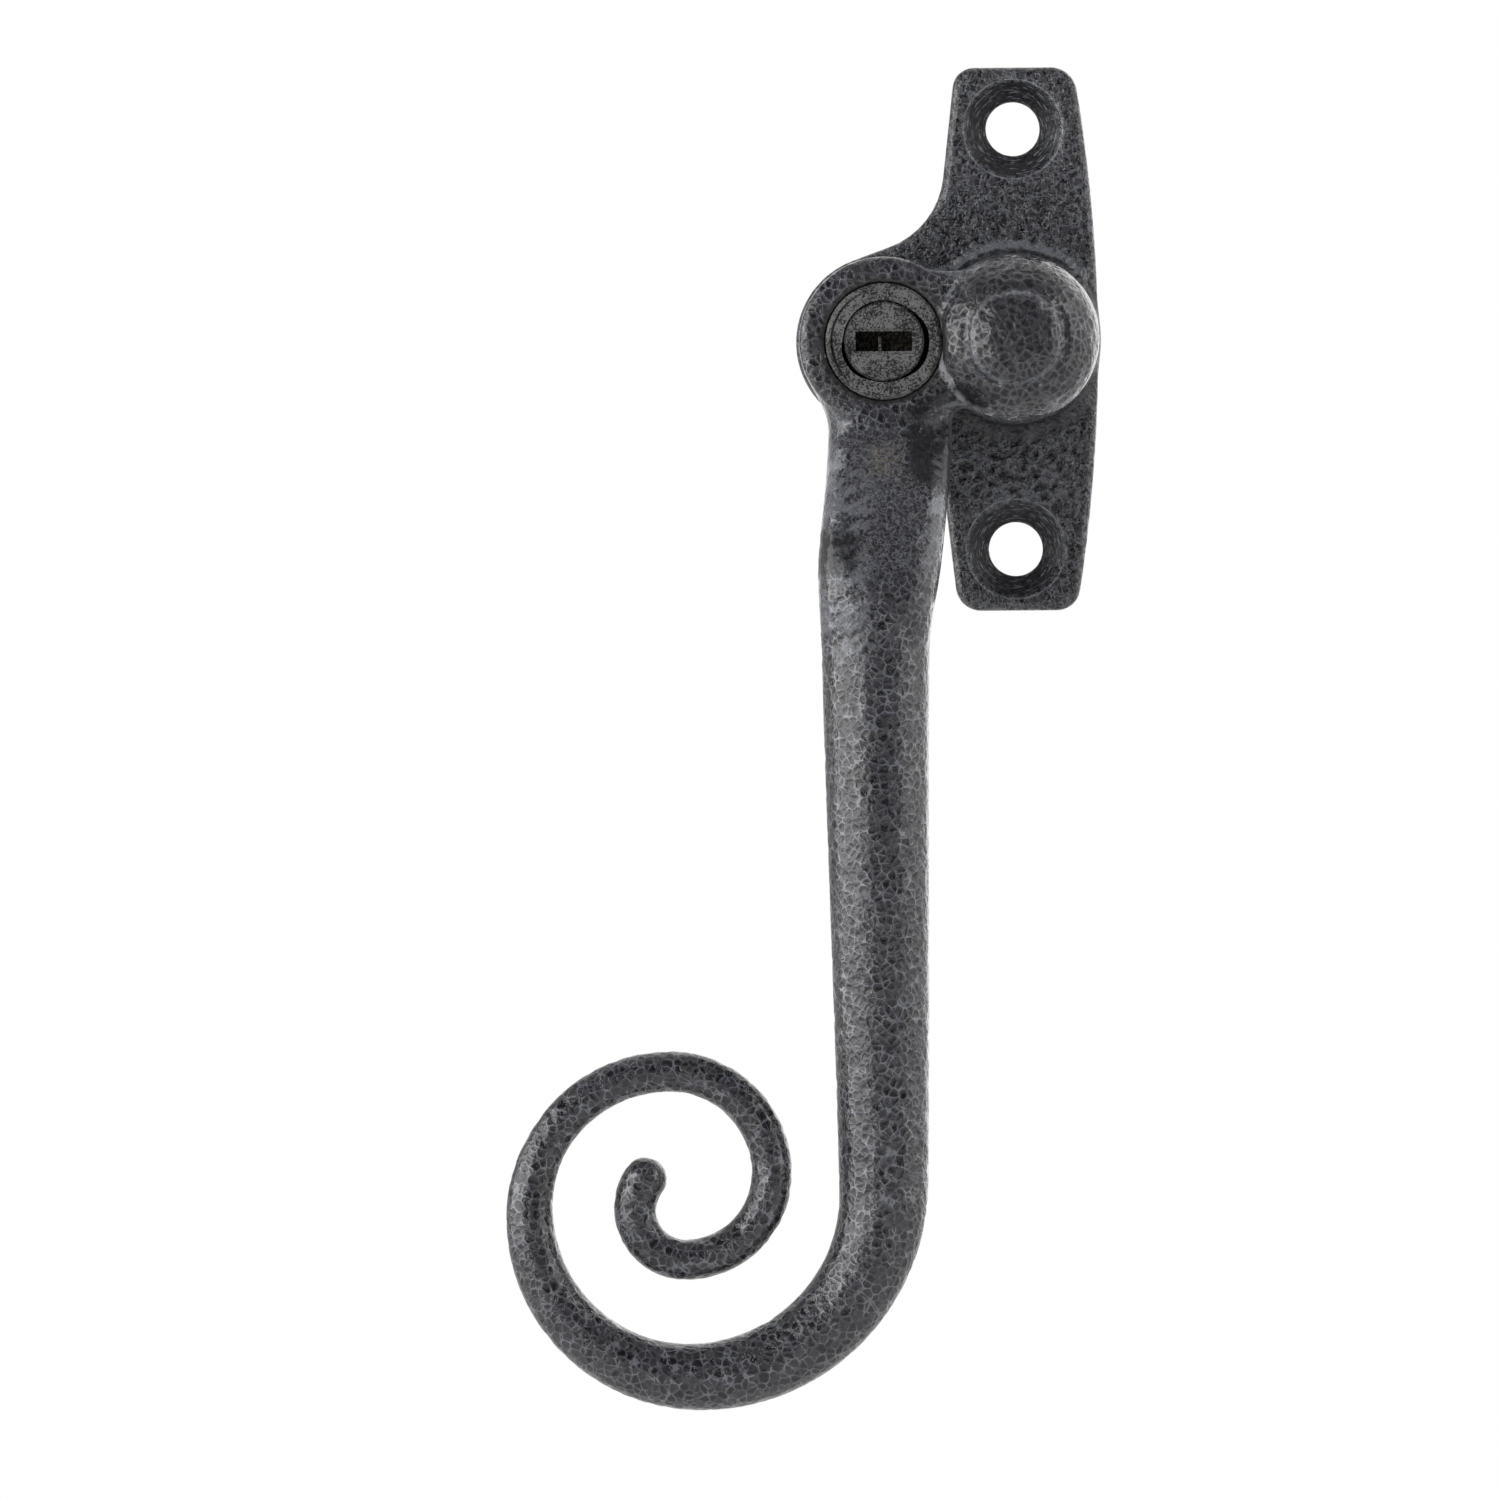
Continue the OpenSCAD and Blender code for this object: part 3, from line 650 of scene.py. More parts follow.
@dataclass(frozen=True)
class CastingPaint:
    """Dark glossy paint on iron: dished cells, pale lines and wrinkles, edges paler from wear and painted
    highlight, creases paler as painted highlight, and patches darkened as painted shade.

    Cells, wander, wrinkles and relief are in millimetres, grain and patches in clouds to a metre, and
    the strengths of the layers go from 0 to 1.
    """

    name: str
    cell: float
    wander: float
    line: float
    wrinkle: float
    ground: Colour
    warm: Colour
    dark: Colour
    pale: Colour
    # Tint of the painted highlights.
    highlight_tint: Colour
    shade: Colour
    net: float
    fill: float
    pits: float
    ridges: float
    # Strength of the paler edges: wear and painted highlight.
    edge: float
    # Strength of the painted highlight in creases.
    crease_highlight: float
    relief: float
    crumple: float
    roughness: Pair
    coat: Pair
    # Colour of the brownish patch on the neck.
    brownish: Colour = (0.085, 0.072, 0.062)
    grain: float = 3600.0
    patches: float = 330.0
    plain_lines: float = 0.2
    plain_pits: float = 0.6
    plain_ridges: float = 0.55
    deep_lines: float = 0.2
    # Share of the brownish patch, of the calm and slick painted shade, and of the countersinks' painted
    # highlight streaks.
    overlay_share: float = 0.8
    # Share of the painted shade in the dents.
    dent_shade_share: float = 0.85
    calm_rough: float = 0.38
    calm_relief: float = 0.25
    deep_rough: float = 0.22
    dish_rough: float = 0.42
    coat_rough: float = 0.06

    def colour(self, nodes: Nodes, cells: Sockets, skin: Sockets, grain: Sockets) -> tuple[Socket, Socket]:
        """Colour of the paint, layer over layer from its ground to the painted highlight in the creases.

        Args:
            nodes: Nodes of the material.
            cells: The hammered cells.
            skin: The wrinkles.
            grain: The grain.

        Returns:
            The colour, and where the paint is calm: smoother, and darkened as painted shade.
        """
        torn = nodes.math("SUBTRACT", nodes.math("ADD", grain["Grain"], skin["Fold"]), 1.0)

        def ragged(mark: str, low: float, high: float, tear: float = 1.0) -> Socket:
            """A mark of the mesh with its border torn by the grain and the wrinkles."""
            return nodes.rise(nodes.math("MULTIPLY_ADD", torn, tear, nodes.mark(mark)), low, high)

        plain, deep, calm_shade = (nodes.mark(name) for name in ("plain", "deep", "calm_shade"))
        clear = nodes.ease(plain, 1.0, self.plain_lines)
        filled = nodes.times(nodes.math("MAXIMUM", cells["Tone"], deep), self.fill)
        slick_shade = ragged("slick_shade", 0.25, 0.6, 1.2)
        broken = nodes.rise(grain["Patch"], 0.2, 0.8, self.crease_highlight * 0.25, self.crease_highlight)
        layers = (
            (nodes.times(grain["Patch"], 0.6), self.warm),
            # Darker dishes: partly the hammered paint's own look, partly painted shade in the dished hollows.
            (nodes.times(cells["Dish"], filled, clear), self.dark),
            # A brownish patch on the neck.
            (nodes.times(ragged("brownish", 0.1, 0.6), self.overlay_share), self.brownish),
            # Darker pits: partly the wrinkles' own look, partly painted shade in their hollows.
            (nodes.times(skin["Pit"], nodes.ease(plain, self.pits, self.plain_pits)), self.dark),
            # Pale net: partly the paint's lighter lines, partly painted highlight on the raised lines.
            (nodes.times(cells["Net"], self.net, nodes.ease(deep, clear, self.deep_lines)), self.pale),
            (nodes.times(skin["Ridge"], nodes.ease(plain, self.ridges, self.plain_ridges)), self.pale),
            # Calm: painted shade over smoother paint, round the lock, in the countersinks and round the seat.
            (nodes.times(calm_shade, self.overlay_share), self.shade),
            # Slick: painted shade where the glossy neck, web and flank reflect dark.
            (nodes.times(slick_shade, self.overlay_share), self.dark),
            # Dents: painted shade in the hollows between the plate's lumps.
            (nodes.times(nodes.mark("dent_shade"), self.dent_shade_share), self.dark),
            # Edges: partly wear, partly painted highlight on rims, steps and crests.
            (nodes.times(ragged("edge", 0.15, 0.6), self.edge), self.pale),
            # Creases: painted highlight in creases and seams and on the handle's glints.
            (nodes.times(ragged("crease_highlight", 0.5, 0.72, 1.6), broken), self.highlight_tint))
        colour = self.ground
        for share, tint in layers:
            colour = nodes.mix(share, colour, tint)
        return colour, nodes.math("MAXIMUM", calm_shade, nodes.times(slick_shade, 0.7))

    def trimmed(self, nodes: Nodes, where: Socket, colour: Socket) -> Socket:
        """Colour with what only one casting shows: nothing more on most."""
        return colour

    def material(self, effects: Effects) -> Material:
        """Build the material.

        Args:
            effects: The shared effects.

        Returns:
            The material.
        """
        material, nodes, shader, where = material_start(self.name)
        cells = nodes.group(effects.hammered, Vector=where, Scale=1.0 / (self.cell * MM),
                            Wander=self.wander * MM, Line=self.line)
        skin = nodes.group(effects.crumpled, Vector=where, Scale=1.0 / (self.wrinkle * MM))
        grain = nodes.group(effects.grained, Vector=where, Scale=self.grain, Patches=self.patches, Specks=0.0)
        colour, calm_shade = self.colour(nodes, cells, skin, grain)
        deep = nodes.mark("deep")
        dished = nodes.times(cells["Dish"], deep)
        rough = nodes.rise(grain["Grain"], 0.3, 0.7, *self.roughness)
        rough = nodes.ease(dished, nodes.ease(deep, rough, self.deep_rough), self.dish_rough)
        coat = nodes.ease(dished, nodes.ease(cells["Net"], *self.coat), 0.0)
        height = nodes.math("MULTIPLY_ADD", skin["Pit"], -self.crumple, cells["Height"])
        height = nodes.math("MULTIPLY_ADD", grain["Grain"], self.crumple * 0.5, height)
        height = nodes.times(height, nodes.ease(calm_shade, 1.0, self.calm_relief))
        nodes.feed(shader, {
            "Base Color": self.trimmed(nodes, where, colour),
            "Roughness": nodes.ease(calm_shade, rough, self.calm_rough),
            "Coat Weight": nodes.ease(calm_shade, coat, 0.0),
            "Coat Roughness": self.coat_rough,
            "Normal": nodes.bump(height, 1.0, self.relief)})
        return material


@dataclass(frozen=True)
class PlatePaint(CastingPaint):
    """Casting paint with a thin painted highlight on each screw hole's rim and streaks of painted highlight
    on its cone.
    """

    screw_y: float = 21.5
    rim_r: float = 5.1
    rim_w: float = 0.13
    streak: float = 0.34
    streak_turn: float = 1.2
    streak_scale: float = 2.4

    def trimmed(self, nodes: Nodes, where: Socket, colour: Socket) -> Socket:
        """Colour with the painted highlights on the rims and in streaks, which follow radius and angle about
        the screws.

        Args:
            nodes: Nodes of the material.
            where: Object coordinates.
            colour: Colour of the paint so far.

        Returns:
            The colour.
        """
        x, depth, height = nodes.add("ShaderNodeSeparateXYZ", {0: where}).outputs
        up = nodes.math("SUBTRACT", nodes.math("ABSOLUTE", height), self.screw_y * MM)
        square = nodes.math("ADD", nodes.times(x, x), nodes.times(up, up))
        radius = nodes.math("DIVIDE", nodes.math("SQRT", square), MM)
        angle = nodes.times(nodes.math("ARCTAN2", up, x), self.streak_turn)
        rings = nodes.math("DIVIDE", radius, self.streak)
        polar = nodes.add("ShaderNodeCombineXYZ", {0: angle, 1: rings, 2: height}).outputs[0]
        polar_noise = nodes.noise(polar, self.streak_scale, 1.0)
        front = nodes.rise(depth, -2.0 * MM, -0.6 * MM, 1.0, 0.0)
        cone = nodes.rise(radius, self.rim_r - 0.5, self.rim_r - 0.2, 1.0, 0.0)
        # Painted highlight streaks on the countersinks' cones.
        streak_highlights = nodes.times(cone, front, nodes.rise(polar_noise, 0.58, 0.68), self.overlay_share)
        off = nodes.math("ABSOLUTE", nodes.math("SUBTRACT", radius, self.rim_r))
        rim = nodes.rise(off, 0.0, self.rim_w, 1.0, 0.0)
        # Painted highlight on each countersink's rim.
        rim_highlights = nodes.times(rim, front, nodes.rise(polar_noise, 0.3, 0.6, 0.35, 0.9))
        return nodes.mix(rim_highlights, nodes.mix(streak_highlights, colour, self.highlight_tint), self.highlight_tint)


@dataclass(frozen=True)
class Metal:
    """Bare, plated or blackened metal, or moulded nylon, with fine grain and specks."""

    name: str
    colour: Colour
    fleck: Colour
    specks: float
    metallic: float
    roughness: Pair
    grain: float = 2600.0
    relief: float = 0.006
    patches: float = 420.0
    patch_share: float = 0.18
    speck_share: float = 0.97
    bump: float = 0.7

    def material(self, effects: Effects) -> Material:
        """Build the material.

        Args:
            effects: The shared effects.

        Returns:
            The material.
        """
        material, nodes, shader, where = material_start(self.name)
        grain = nodes.group(effects.grained, Vector=where, Scale=self.grain, Patches=self.patches,
                            Specks=self.specks)
        speck = nodes.times(grain["Speck"], self.speck_share)
        ground = nodes.mix(nodes.times(grain["Patch"], self.patch_share), self.colour, self.fleck)
        height = nodes.math("SUBTRACT", grain["Grain"], speck)
        nodes.feed(shader, {
            "Base Color": nodes.mix(speck, ground, self.fleck),
            "Roughness": nodes.rise(grain["Grain"], 0.3, 0.7, *self.roughness),
            "Metallic": self.metallic,
            "Normal": nodes.bump(height, self.bump, self.relief)})
        return material


LEVER_PAINT = CastingPaint(
    "lever_paint", cell=0.85, wander=0.34, line=0.07, wrinkle=0.6,
    ground=(0.038, 0.038, 0.046), warm=(0.043, 0.040, 0.042), dark=(0.004, 0.004, 0.006),
    pale=(0.176, 0.185, 0.210), highlight_tint=(0.27, 0.28, 0.30), shade=(0.010, 0.008, 0.007),
    net=0.72, fill=1.0, pits=0.35, ridges=0.06, edge=0.5, crease_highlight=0.6,
    relief=0.05, crumple=0.4, roughness=(0.05, 0.14), coat=(0.3, 0.9))
PLATE_PAINT = PlatePaint(
    "plate_paint", cell=0.75, wander=0.45, line=0.12, wrinkle=0.8,
    ground=(0.036, 0.036, 0.043), warm=(0.039, 0.036, 0.040), dark=(0.003, 0.003, 0.005),
    pale=(0.165, 0.172, 0.196), highlight_tint=(0.20, 0.21, 0.23), shade=(0.009, 0.009, 0.011),
    net=0.12, fill=0.3, pits=1.0, ridges=0.6, edge=0.75, crease_highlight=0.5,
    relief=0.08, crumple=1.4, roughness=(0.09, 0.24), coat=(0.3, 0.6))
LOCK_ZINC = Metal("lock_zinc", (0.148, 0.148, 0.146), (0.004, 0.004, 0.004), specks=1.1, metallic=0.15,
                  roughness=(0.5, 0.7), grain=9500.0, relief=0.02)
STEEL = Metal("plated_steel", (0.42, 0.43, 0.44), (0.25, 0.26, 0.27), specks=0.35, metallic=1.0,
              roughness=(0.28, 0.42))
DARK_STEEL = Metal("blackened_steel", (0.035, 0.035, 0.037), (0.014, 0.014, 0.015), specks=0.5, metallic=0.7,
                   roughness=(0.35, 0.5))
BRASS = Metal("wafer_brass", (0.50, 0.36, 0.13), (0.32, 0.22, 0.08), specks=0.4, metallic=1.0,
              roughness=(0.25, 0.4))
NYLON = Metal("black_nylon", (0.018, 0.018, 0.019), (0.030, 0.030, 0.031), specks=0.4, metallic=0.0,
              roughness=(0.4, 0.55), grain=1800.0)


# Sub-assemblies


@dataclass(frozen=True)
class Layout:
    """Sizes that the sub-assemblies share."""

    lock: Pair = (-13.4, -0.25)
    plate_t: float = 4.5
    seat_z: float = 6.5
    under_z: float = 7.1
    boss_z: float = 21.6
    journal_r: float = 6.0
    spindle_af: float = 7.0


@dataclass(frozen=True)
class Patch:
    """Soft box on a casting, whose middle is at x, y and a height over a given level."""

    middle: Point
    half: Point
    start: float = 0.3

    def over(self, p: Array, level: float) -> Array:
        """One round the middle, falling to 0 at the faces: the product over the three axes."""
        middle = np.array(self.middle) + (0.0, 0.0, level)
        return np.prod(fall(np.abs(p - middle) / self.half, self.start, 1.0), axis=1)


@dataclass
class HandleCasting:
    """Cranked lever with its domed hub, lock boss and scroll tail, cast in one.

    Pairs named for the lever say between which depths below the pivot it changes.
    """

    layout: Layout
    hub_r: float = 8.65
    hub_drop: float = 3.1
    shoulder_r: float = 7.0
    shoulder_top: float = math.radians(55.0)
    cap_r: float = 4.7
    cap_rise: float = 1.7
    cap_lift: float = 0.1
    cap_square: float = 2.5
    cap_fillet: float = 0.8
    boss_r: float = 8.65
    boss_edge_r: float = 0.8
    foot_bevel: float = 0.4
    past_axis: float = -9.0
    web_half: float = 6.9
    web_fillet: float = 0.6
    hub_fillet: float = 0.5
    lever_fillet: float = 2.2
    lever_top: float = 6.0
    head_foot: float = -26.0
    neck_w: float = 12.6
    lever_w: float = 11.0
    scroll_w: float = 9.16
    tail_w: float = 4.15
    tip_w: float = 4.45
    lever_depth: float = 0.932
    neck_square: float = 4.2
    neck_in: float = 0.6
    lever_x: float = 14.5
    scroll_in: float = 0.42
    scroll_drop: float = 86.45
    crank_out: float = 10.5
    lever_sink: float = 1.2
    neck_rise: float = 7.4
    lever_start: float = 3.0
    crank_x: Pair = (8.0, 31.0)
    crank_z: Pair = (5.0, 29.0)
    neck_end: Pair = (21.0, 33.0)
    square_end: Pair = (22.0, 31.0)
    lean_start: float = 30.0
    sink_start: float = 45.0
    scroll_r: float = 19.33
    scroll_arcs: tuple[Pair, ...] = ((1.0, 90.0), (0.871, 90.0), (0.742, 90.0), (0.538, 90.0),
                                     (0.456, 90.0), (0.267, 127.0))
    taper_len: float = 65.0
    path_step: float = 1.2
    arc_step: float = 3.0
    lock_bore_r: float = 6.03
    floor_t: float = 1.1
    bolt_hole_r: float = 2.05
    socket_depth: float = 9.0
    socket_room: float = 0.02
    set_screw_r: float = 2.02
    set_screw_z: float = 5.2
    hole_edge: float = 0.28
    groove_d: float = 0.5
    groove_z: float = 1.02
    groove_half: float = 0.42
    step: float = 0.335
    mark_pitch: float = 1.5
    mark_height: float = 0.07
    dome_marks: float = 0.9
    ripple_height: float = 0.12
    ripple_pitch: float = 1.0
    # Places of a brownish patch, of painted shade on the neck, web and flank, of a strip of painted glints
    # and of the neck's painted glint.
    brownish_spot: Patch = Patch((-13.6, -12.6, 0.0), (2.3, 2.4, 6.0), 0.2)
    shaded_neck: Patch = Patch((-7.8, -10.8, -3.0), (4.6, 6.4, 10.0), 0.4)
    shaded_web: Patch = Patch((-5.4, -6.3, -1.0), (4.0, 2.4, 4.0))
    shaded_flank: Patch = Patch((-18.6, -21.8, 0.0), (4.0, 3.6, 14.0))
    glint_strip: Patch = Patch((-8.0, -20.2, 0.0), (1.5, 6.0, 12.0))
    glint: Patch = Patch((-18.4, -13.4, -3.0), (1.9, 3.2, 8.0))

    def __post_init__(self) -> None:
        """Work out the lever's path and the turned profiles."""
        self.path, self.width, self.square = self.lever_path()
        self.depth = self.width * (1.0 + (self.lever_depth - 1.0)
                                   * smooth_step(self.width, self.tail_w, self.scroll_w))
        along = np.gradient(self.path, axis=0)
        self.along = along / np.linalg.norm(along, axis=1)[:, None]
        across = np.cross(self.along, (0.0, 0.0, 1.0))
        self.across = across / np.linalg.norm(across, axis=1)[:, None]
        self.out = np.cross(self.along, self.across)
        self.hub_profile = self.turned_hub()
        self.boss_profile = self.turned_boss()

    def lever_path(self) -> tuple[Array, Array, Array]:
        """Centre line of the lever: a smooth crank, then arcs of falling radius for the scroll.

        Returns:
            Points of the line, and the lever's width and the power of its oval at each.
        """
        lay, drop, thick = self.layout, self.scroll_drop, self.neck_end[1]
        down = np.arange(self.lever_start, drop, self.path_step)
        scroll_x = self.lever_x - self.scroll_in
        top_x = -lay.lock[0] - self.neck_in
        x = top_x + (self.lever_x - top_x) * smooth_step(down, *self.crank_x)
        x = x + (scroll_x - x) * smooth_step(down, self.lean_start, drop)
        neck_z = lay.under_z + self.neck_rise
        z = neck_z + self.crank_out * smooth_step(down, *self.crank_z)
        z = z - self.lever_sink * smooth_step(down, self.sink_start, drop)
        width = self.neck_w + (self.lever_w - self.neck_w) * smooth_step(down, *self.neck_end)
        width = width + (self.scroll_w - width) * np.maximum(0.0, (down - thick) / (drop - thick))
        lines, widths = [np.stack([-x, -down, z], axis=1)], [width]
        spot, heading, run = np.array([-scroll_x, -drop]), -math.pi / 2, 0.0
        total = sum(k * math.radians(a) for k, a in self.scroll_arcs) * self.scroll_r
        for share, angle in self.scroll_arcs:
            r, turn, count = self.scroll_r * share, math.radians(angle), int(angle / self.arc_step)
            g = heading - turn * np.arange(1, count + 1) / count
            gone = run + r * (heading - g)
            arc = spot + r * np.stack([math.sin(heading) - np.sin(g), np.cos(g) - math.cos(heading)], axis=1)
            lines.append(np.column_stack([arc, np.full(len(arc), neck_z + self.crank_out - self.lever_sink)]))
            thin = self.scroll_w + (self.tail_w - self.scroll_w) * gone / self.taper_len
            swell = smooth_step(gone, total - 2.0 * self.tail_w, total)
            widths.append(np.maximum(thin, self.tail_w + (self.tip_w - self.tail_w) * swell))
            spot, heading, run = arc[-1], heading - turn, run + r * turn
        path = np.concatenate(lines)
        square = self.neck_square + (2.0 - self.neck_square) * smooth_step(-path[:, 1], *self.square_end)
        return path, np.concatenate(widths), square

    def half_section(self, radius: float, top: Array) -> Array:
        """Half section of an upright wall on a bevelled foot, closed past the axis at its top's end.

        Args:
            radius: Radius of the wall.
            top: Corners of its top, from the wall inwards.

        Returns:
            Corners of radius and height.
        """
        low, bevel = self.layout.under_z, self.foot_bevel
        foot = [(self.past_axis, low), (radius - bevel, low), (radius, low + bevel)]
        return np.concatenate([foot, top, [(self.past_axis, top[-1, 1])]])

    def turned_hub(self) -> Array:
        """Half section of the hub: an upright wall, a round shoulder and a flat step.

        Returns:
            Corners of radius and height.
        """
        inner, base = self.hub_r - self.shoulder_r, self.layout.boss_z - self.hub_drop
        a = np.linspace(0.0, self.shoulder_top, 24)
        shoulder = np.column_stack([inner + self.shoulder_r * np.cos(a), base + self.shoulder_r * np.sin(a)])
        return self.half_section(self.hub_r, shoulder)

    def turned_boss(self) -> Array:
        """Half section of the lock boss: an upright wall with a rounded front edge.

        Returns:
            Corners of radius and height.
        """
        top, r = self.layout.boss_z, self.boss_edge_r
        a = np.linspace(0.0, math.pi / 2, 14)
        edge = np.column_stack([self.boss_r - r * (1.0 - np.cos(a)), top - r * (1.0 - np.sin(a))])
        return self.half_section(self.boss_r, edge)

    def along_lever(self, p: Array, first: Array) -> tuple[Array, Array]:
        """Distance to the lever's oval section on given stretches of its path.

        Args:
            p: Points, one row each.
            first: Number of the station that starts each point's stretch.

        Returns:
            Squared distance to the centre line, and distance to the surface.
        """
        a, b = self.path[first], self.path[first + 1]
        e = b - a
        t = np.clip(((p - a) * e).sum(axis=1) / (e * e).sum(axis=1), 0.0, 1.0)
        r = p - a - t[:, None] * e

        def mixed(row: Array) -> Array:
            """Values at the stretch's two ends, mixed by where the point falls."""
            share = t if row.ndim == 1 else t[:, None]
            return row[first] * (1.0 - share) + row[first + 1] * share

        w, d = mixed(self.width)[:, None] / 2.0, mixed(self.depth)[:, None] / 2.0
        off = np.stack([(r * mixed(a)).sum(axis=1) for a in (self.across, self.out, self.along)], axis=1)
        half = np.concatenate([w, d, w], axis=1)
        return (r * r).sum(axis=1), scaled_round(off, half, mixed(self.square)[:, None])

    def lever(self, p: Array) -> Array:
        """Distance to the lever: its oval section at the nearest point of the path.

        Args:
            p: Points, one row each.

        Returns:
            The signed distances.
        """
        line = self.path.astype(np.float32)
        score = (line * line).sum(axis=1) - 2.0 * (p.astype(np.float32) @ line.T)
        near = np.argmin(score, axis=1)
        last = len(line) - 2
        gap_a, dist_a = self.along_lever(p, np.clip(near - 1, 0, last))
        gap_b, dist_b = self.along_lever(p, np.clip(near, 0, last))
        return np.where(gap_a < gap_b, dist_a, dist_b)

    def head(self, p: Array) -> tuple[Array, Array]:
        """Distances to the hub with its raised cap, and to the lock boss with its web.

        Args:
            p: Points, one row each.

        Returns:
            The two sets of signed distances.
        """
        lay = self.layout
        top = self.hub_profile[-1, 1] + self.cap_lift
        axes = np.array([self.cap_r, self.cap_r, self.cap_rise])
        cap = scaled_round(p - (0.0, 0.0, top), axes, self.cap_square)
        hub = join(turned(p, PIVOT, self.hub_profile), cap, self.cap_fillet)
        web = block(p, (lay.lock[0] + 2.0, -self.web_half, lay.under_z + 0.05),
                    (-2.0, self.web_half, lay.boss_z - 0.5))
        return hub, join(turned(p, lay.lock, self.boss_profile), web, self.web_fillet)

    def holes(self, p: Array) -> Array:
        """Distance to the lock bore, bolt hole, spindle socket and set screw hole together.

        Args:
            p: Points, one row each.

        Returns:
            The signed distances.
        """
        lay = self.layout
        floor = lay.under_z + self.floor_t
        lock = bored(p, lay.lock, self.lock_bore_r, floor, FAR)
        bolt = bored(p, lay.lock, self.bolt_hole_r, -FAR, floor + 1.0)
        half = lay.spindle_af / 2.0 + self.socket_room
        socket = block(p, (-half, -half, -FAR), (half, half, lay.under_z + self.socket_depth))
        wall = np.hypot(p[:, 0], p[:, 2] - lay.under_z - self.set_screw_z) - self.set_screw_r
        screw = np.maximum(wall, p[:, 1])
        return np.minimum(np.minimum(lock, bolt), np.minimum(socket, screw))

    def distance(self, p: Array) -> Array:
        """Distance to the whole casting, with its holes cut and its fillets flowed.

        Args:
            p: Points, one row each.

        Returns:
            The signed distances.
        """
        lay = self.layout
        solid = np.full(len(p), FAR)
        low, high = p[:, 1] < self.lever_top, p[:, 1] > self.head_foot
        solid[low] = self.lever(p[low])
        q = p[high]
        journal = bored(q, PIVOT, lay.journal_r, 0.1, lay.under_z + 1.0)
        groove = np.maximum(lay.journal_r - self.groove_d - from_axis(q),
                            np.abs(q[:, 2] - self.groove_z) - self.groove_half)
        hub, boss = self.head(q)
        head = join(solid[high], join(hub, boss, self.hub_fillet), self.lever_fillet)
        head = np.minimum(head, np.maximum(journal, -groove))
        solid[high] = cut(head, self.holes(q), self.hole_edge)
        return solid

    def ripples(self, p: Array) -> tuple[Array, Array]:
        """Slanting ripples on the crank's left flank: hammer marks drawn out along a slant.

        Args:
            p: Points, one row each.

        Returns:
            Height of the ripples from 0 to 1, and how far each point lies in their place.
        """
        lock_x, low = self.layout.lock[0], self.layout.under_z
        x, y, z = p.T
        streak = np.stack([(x + y) * 0.22, y * 0.82 - x * 0.57, z * 0.12], axis=1)
        left = fall(x, lock_x - 3.5, lock_x + 0.5)
        crank = between(-y, (11.0, 15.0), (30.0, 36.0))
        front = smooth_step(z, low + 4.0, low + 8.0)
        return hammer_marks(streak, self.ripple_pitch), left * crank * front

    def relief(self, p: Array) -> Array:
        """Height of the hammer marks and of the ripples, left off the underside and the lock bore.

        Args:
            p: Points, one row each.

        Returns:
            The heights.
        """
        lay = self.layout
        open_face = smooth_step(p[:, 2], lay.under_z + 0.6, lay.under_z + 1.6)
        outside = smooth_step(from_axis(p, lay.lock), 6.4, 7.2)
        dome = fall(from_axis(p), self.hub_r - 1.0, self.hub_r)
        flat = self.mark_height * (1.0 + self.dome_marks * dome) * (hammer_marks(p, self.mark_pitch) - 1.0)
        crest, place = self.ripples(p)
        return (flat + self.ripple_height * (crest - 1.0) * place) * open_face * outside

    def mark(self, shape: Casting) -> None:
        """Mark the places that the paint shows.

        Calm is the dark ring round the lock: painted shade in the gap round the barrel, with smoother paint.
        Plain is the neck, with its brownish patch and its slick patches darkened as painted shade. Crease is
        painted highlight in the creases, and also has the hub's seam, the neck's painted glint and the
        crank's strip of painted glints. Deep is the dome's dark cells. Edge is partly wear and partly painted
        highlight, and also has the hub's rim, the cap's step and the crests of the ripples as painted
        highlights.

        Args:
            shape: The casting.
        """
        lay, p, marks = self.layout, shape.points, shape.marks
        z, down, out = p[:, 2], -p[:, 1], from_axis(p)
        brownish, neck, web, flank, glint_strip, glint = (
            patch.over(p, lay.boss_z) for patch in
            (self.brownish_spot, self.shaded_neck, self.shaded_web, self.shaded_flank, self.glint_strip, self.glint))
        # Painted shade: a dark ring in the gap round the lock barrel, with smoother paint there.
        marks["calm_shade"] = fall(from_axis(p, lay.lock), self.lock_bore_r + 0.38, self.lock_bore_r + 0.62)
        marks["plain"] = 0.8 * between(down, (8.0, 11.0), (22.0, 27.0))
        # A brownish patch on the neck.
        marks["brownish"] = brownish
        # Painted shade on smoother patches of the neck, web and flank, where the glossy paint reflects dark.
        marks["slick_shade"] = np.max((neck, 0.8 * web, flank), axis=0)
        hub, boss = self.head(p)
        apart = np.maximum(np.abs(hub), np.abs(np.minimum(boss, self.lever(p))))
        seam = fall(apart, 0.12, 0.7) * smooth_step(z, lay.under_z + 2.0, lay.under_z + 4.0)
        crest, place = self.ripples(p)
        # Painted reflection: a strip of glints on the crank's right flank, drawn on the ripples' crests.
        strip_glints = smooth_step(crest, 0.2, 0.5) * glint_strip
        # Painted highlight in the creases and on the hub's seam, with the neck's painted glint.
        marks["crease_highlight"] = np.max((marks["crease_highlight"], seam, 1.3 * glint, 2.4 * strip_glints), axis=0)
        raised = smooth_step(z, lay.boss_z - 4.0, lay.boss_z - 2.0)
        cap = fall(out, self.cap_r - 1.0, self.cap_r - 0.3)
        ring = fall(np.abs(out - self.cap_r - 1.1), 0.3, 0.9)
        dome = fall(out, self.hub_r - 1.4, self.hub_r - 0.7)
        marks["deep"] = np.max((cap, ring, 0.85 * dome), axis=0) * raised
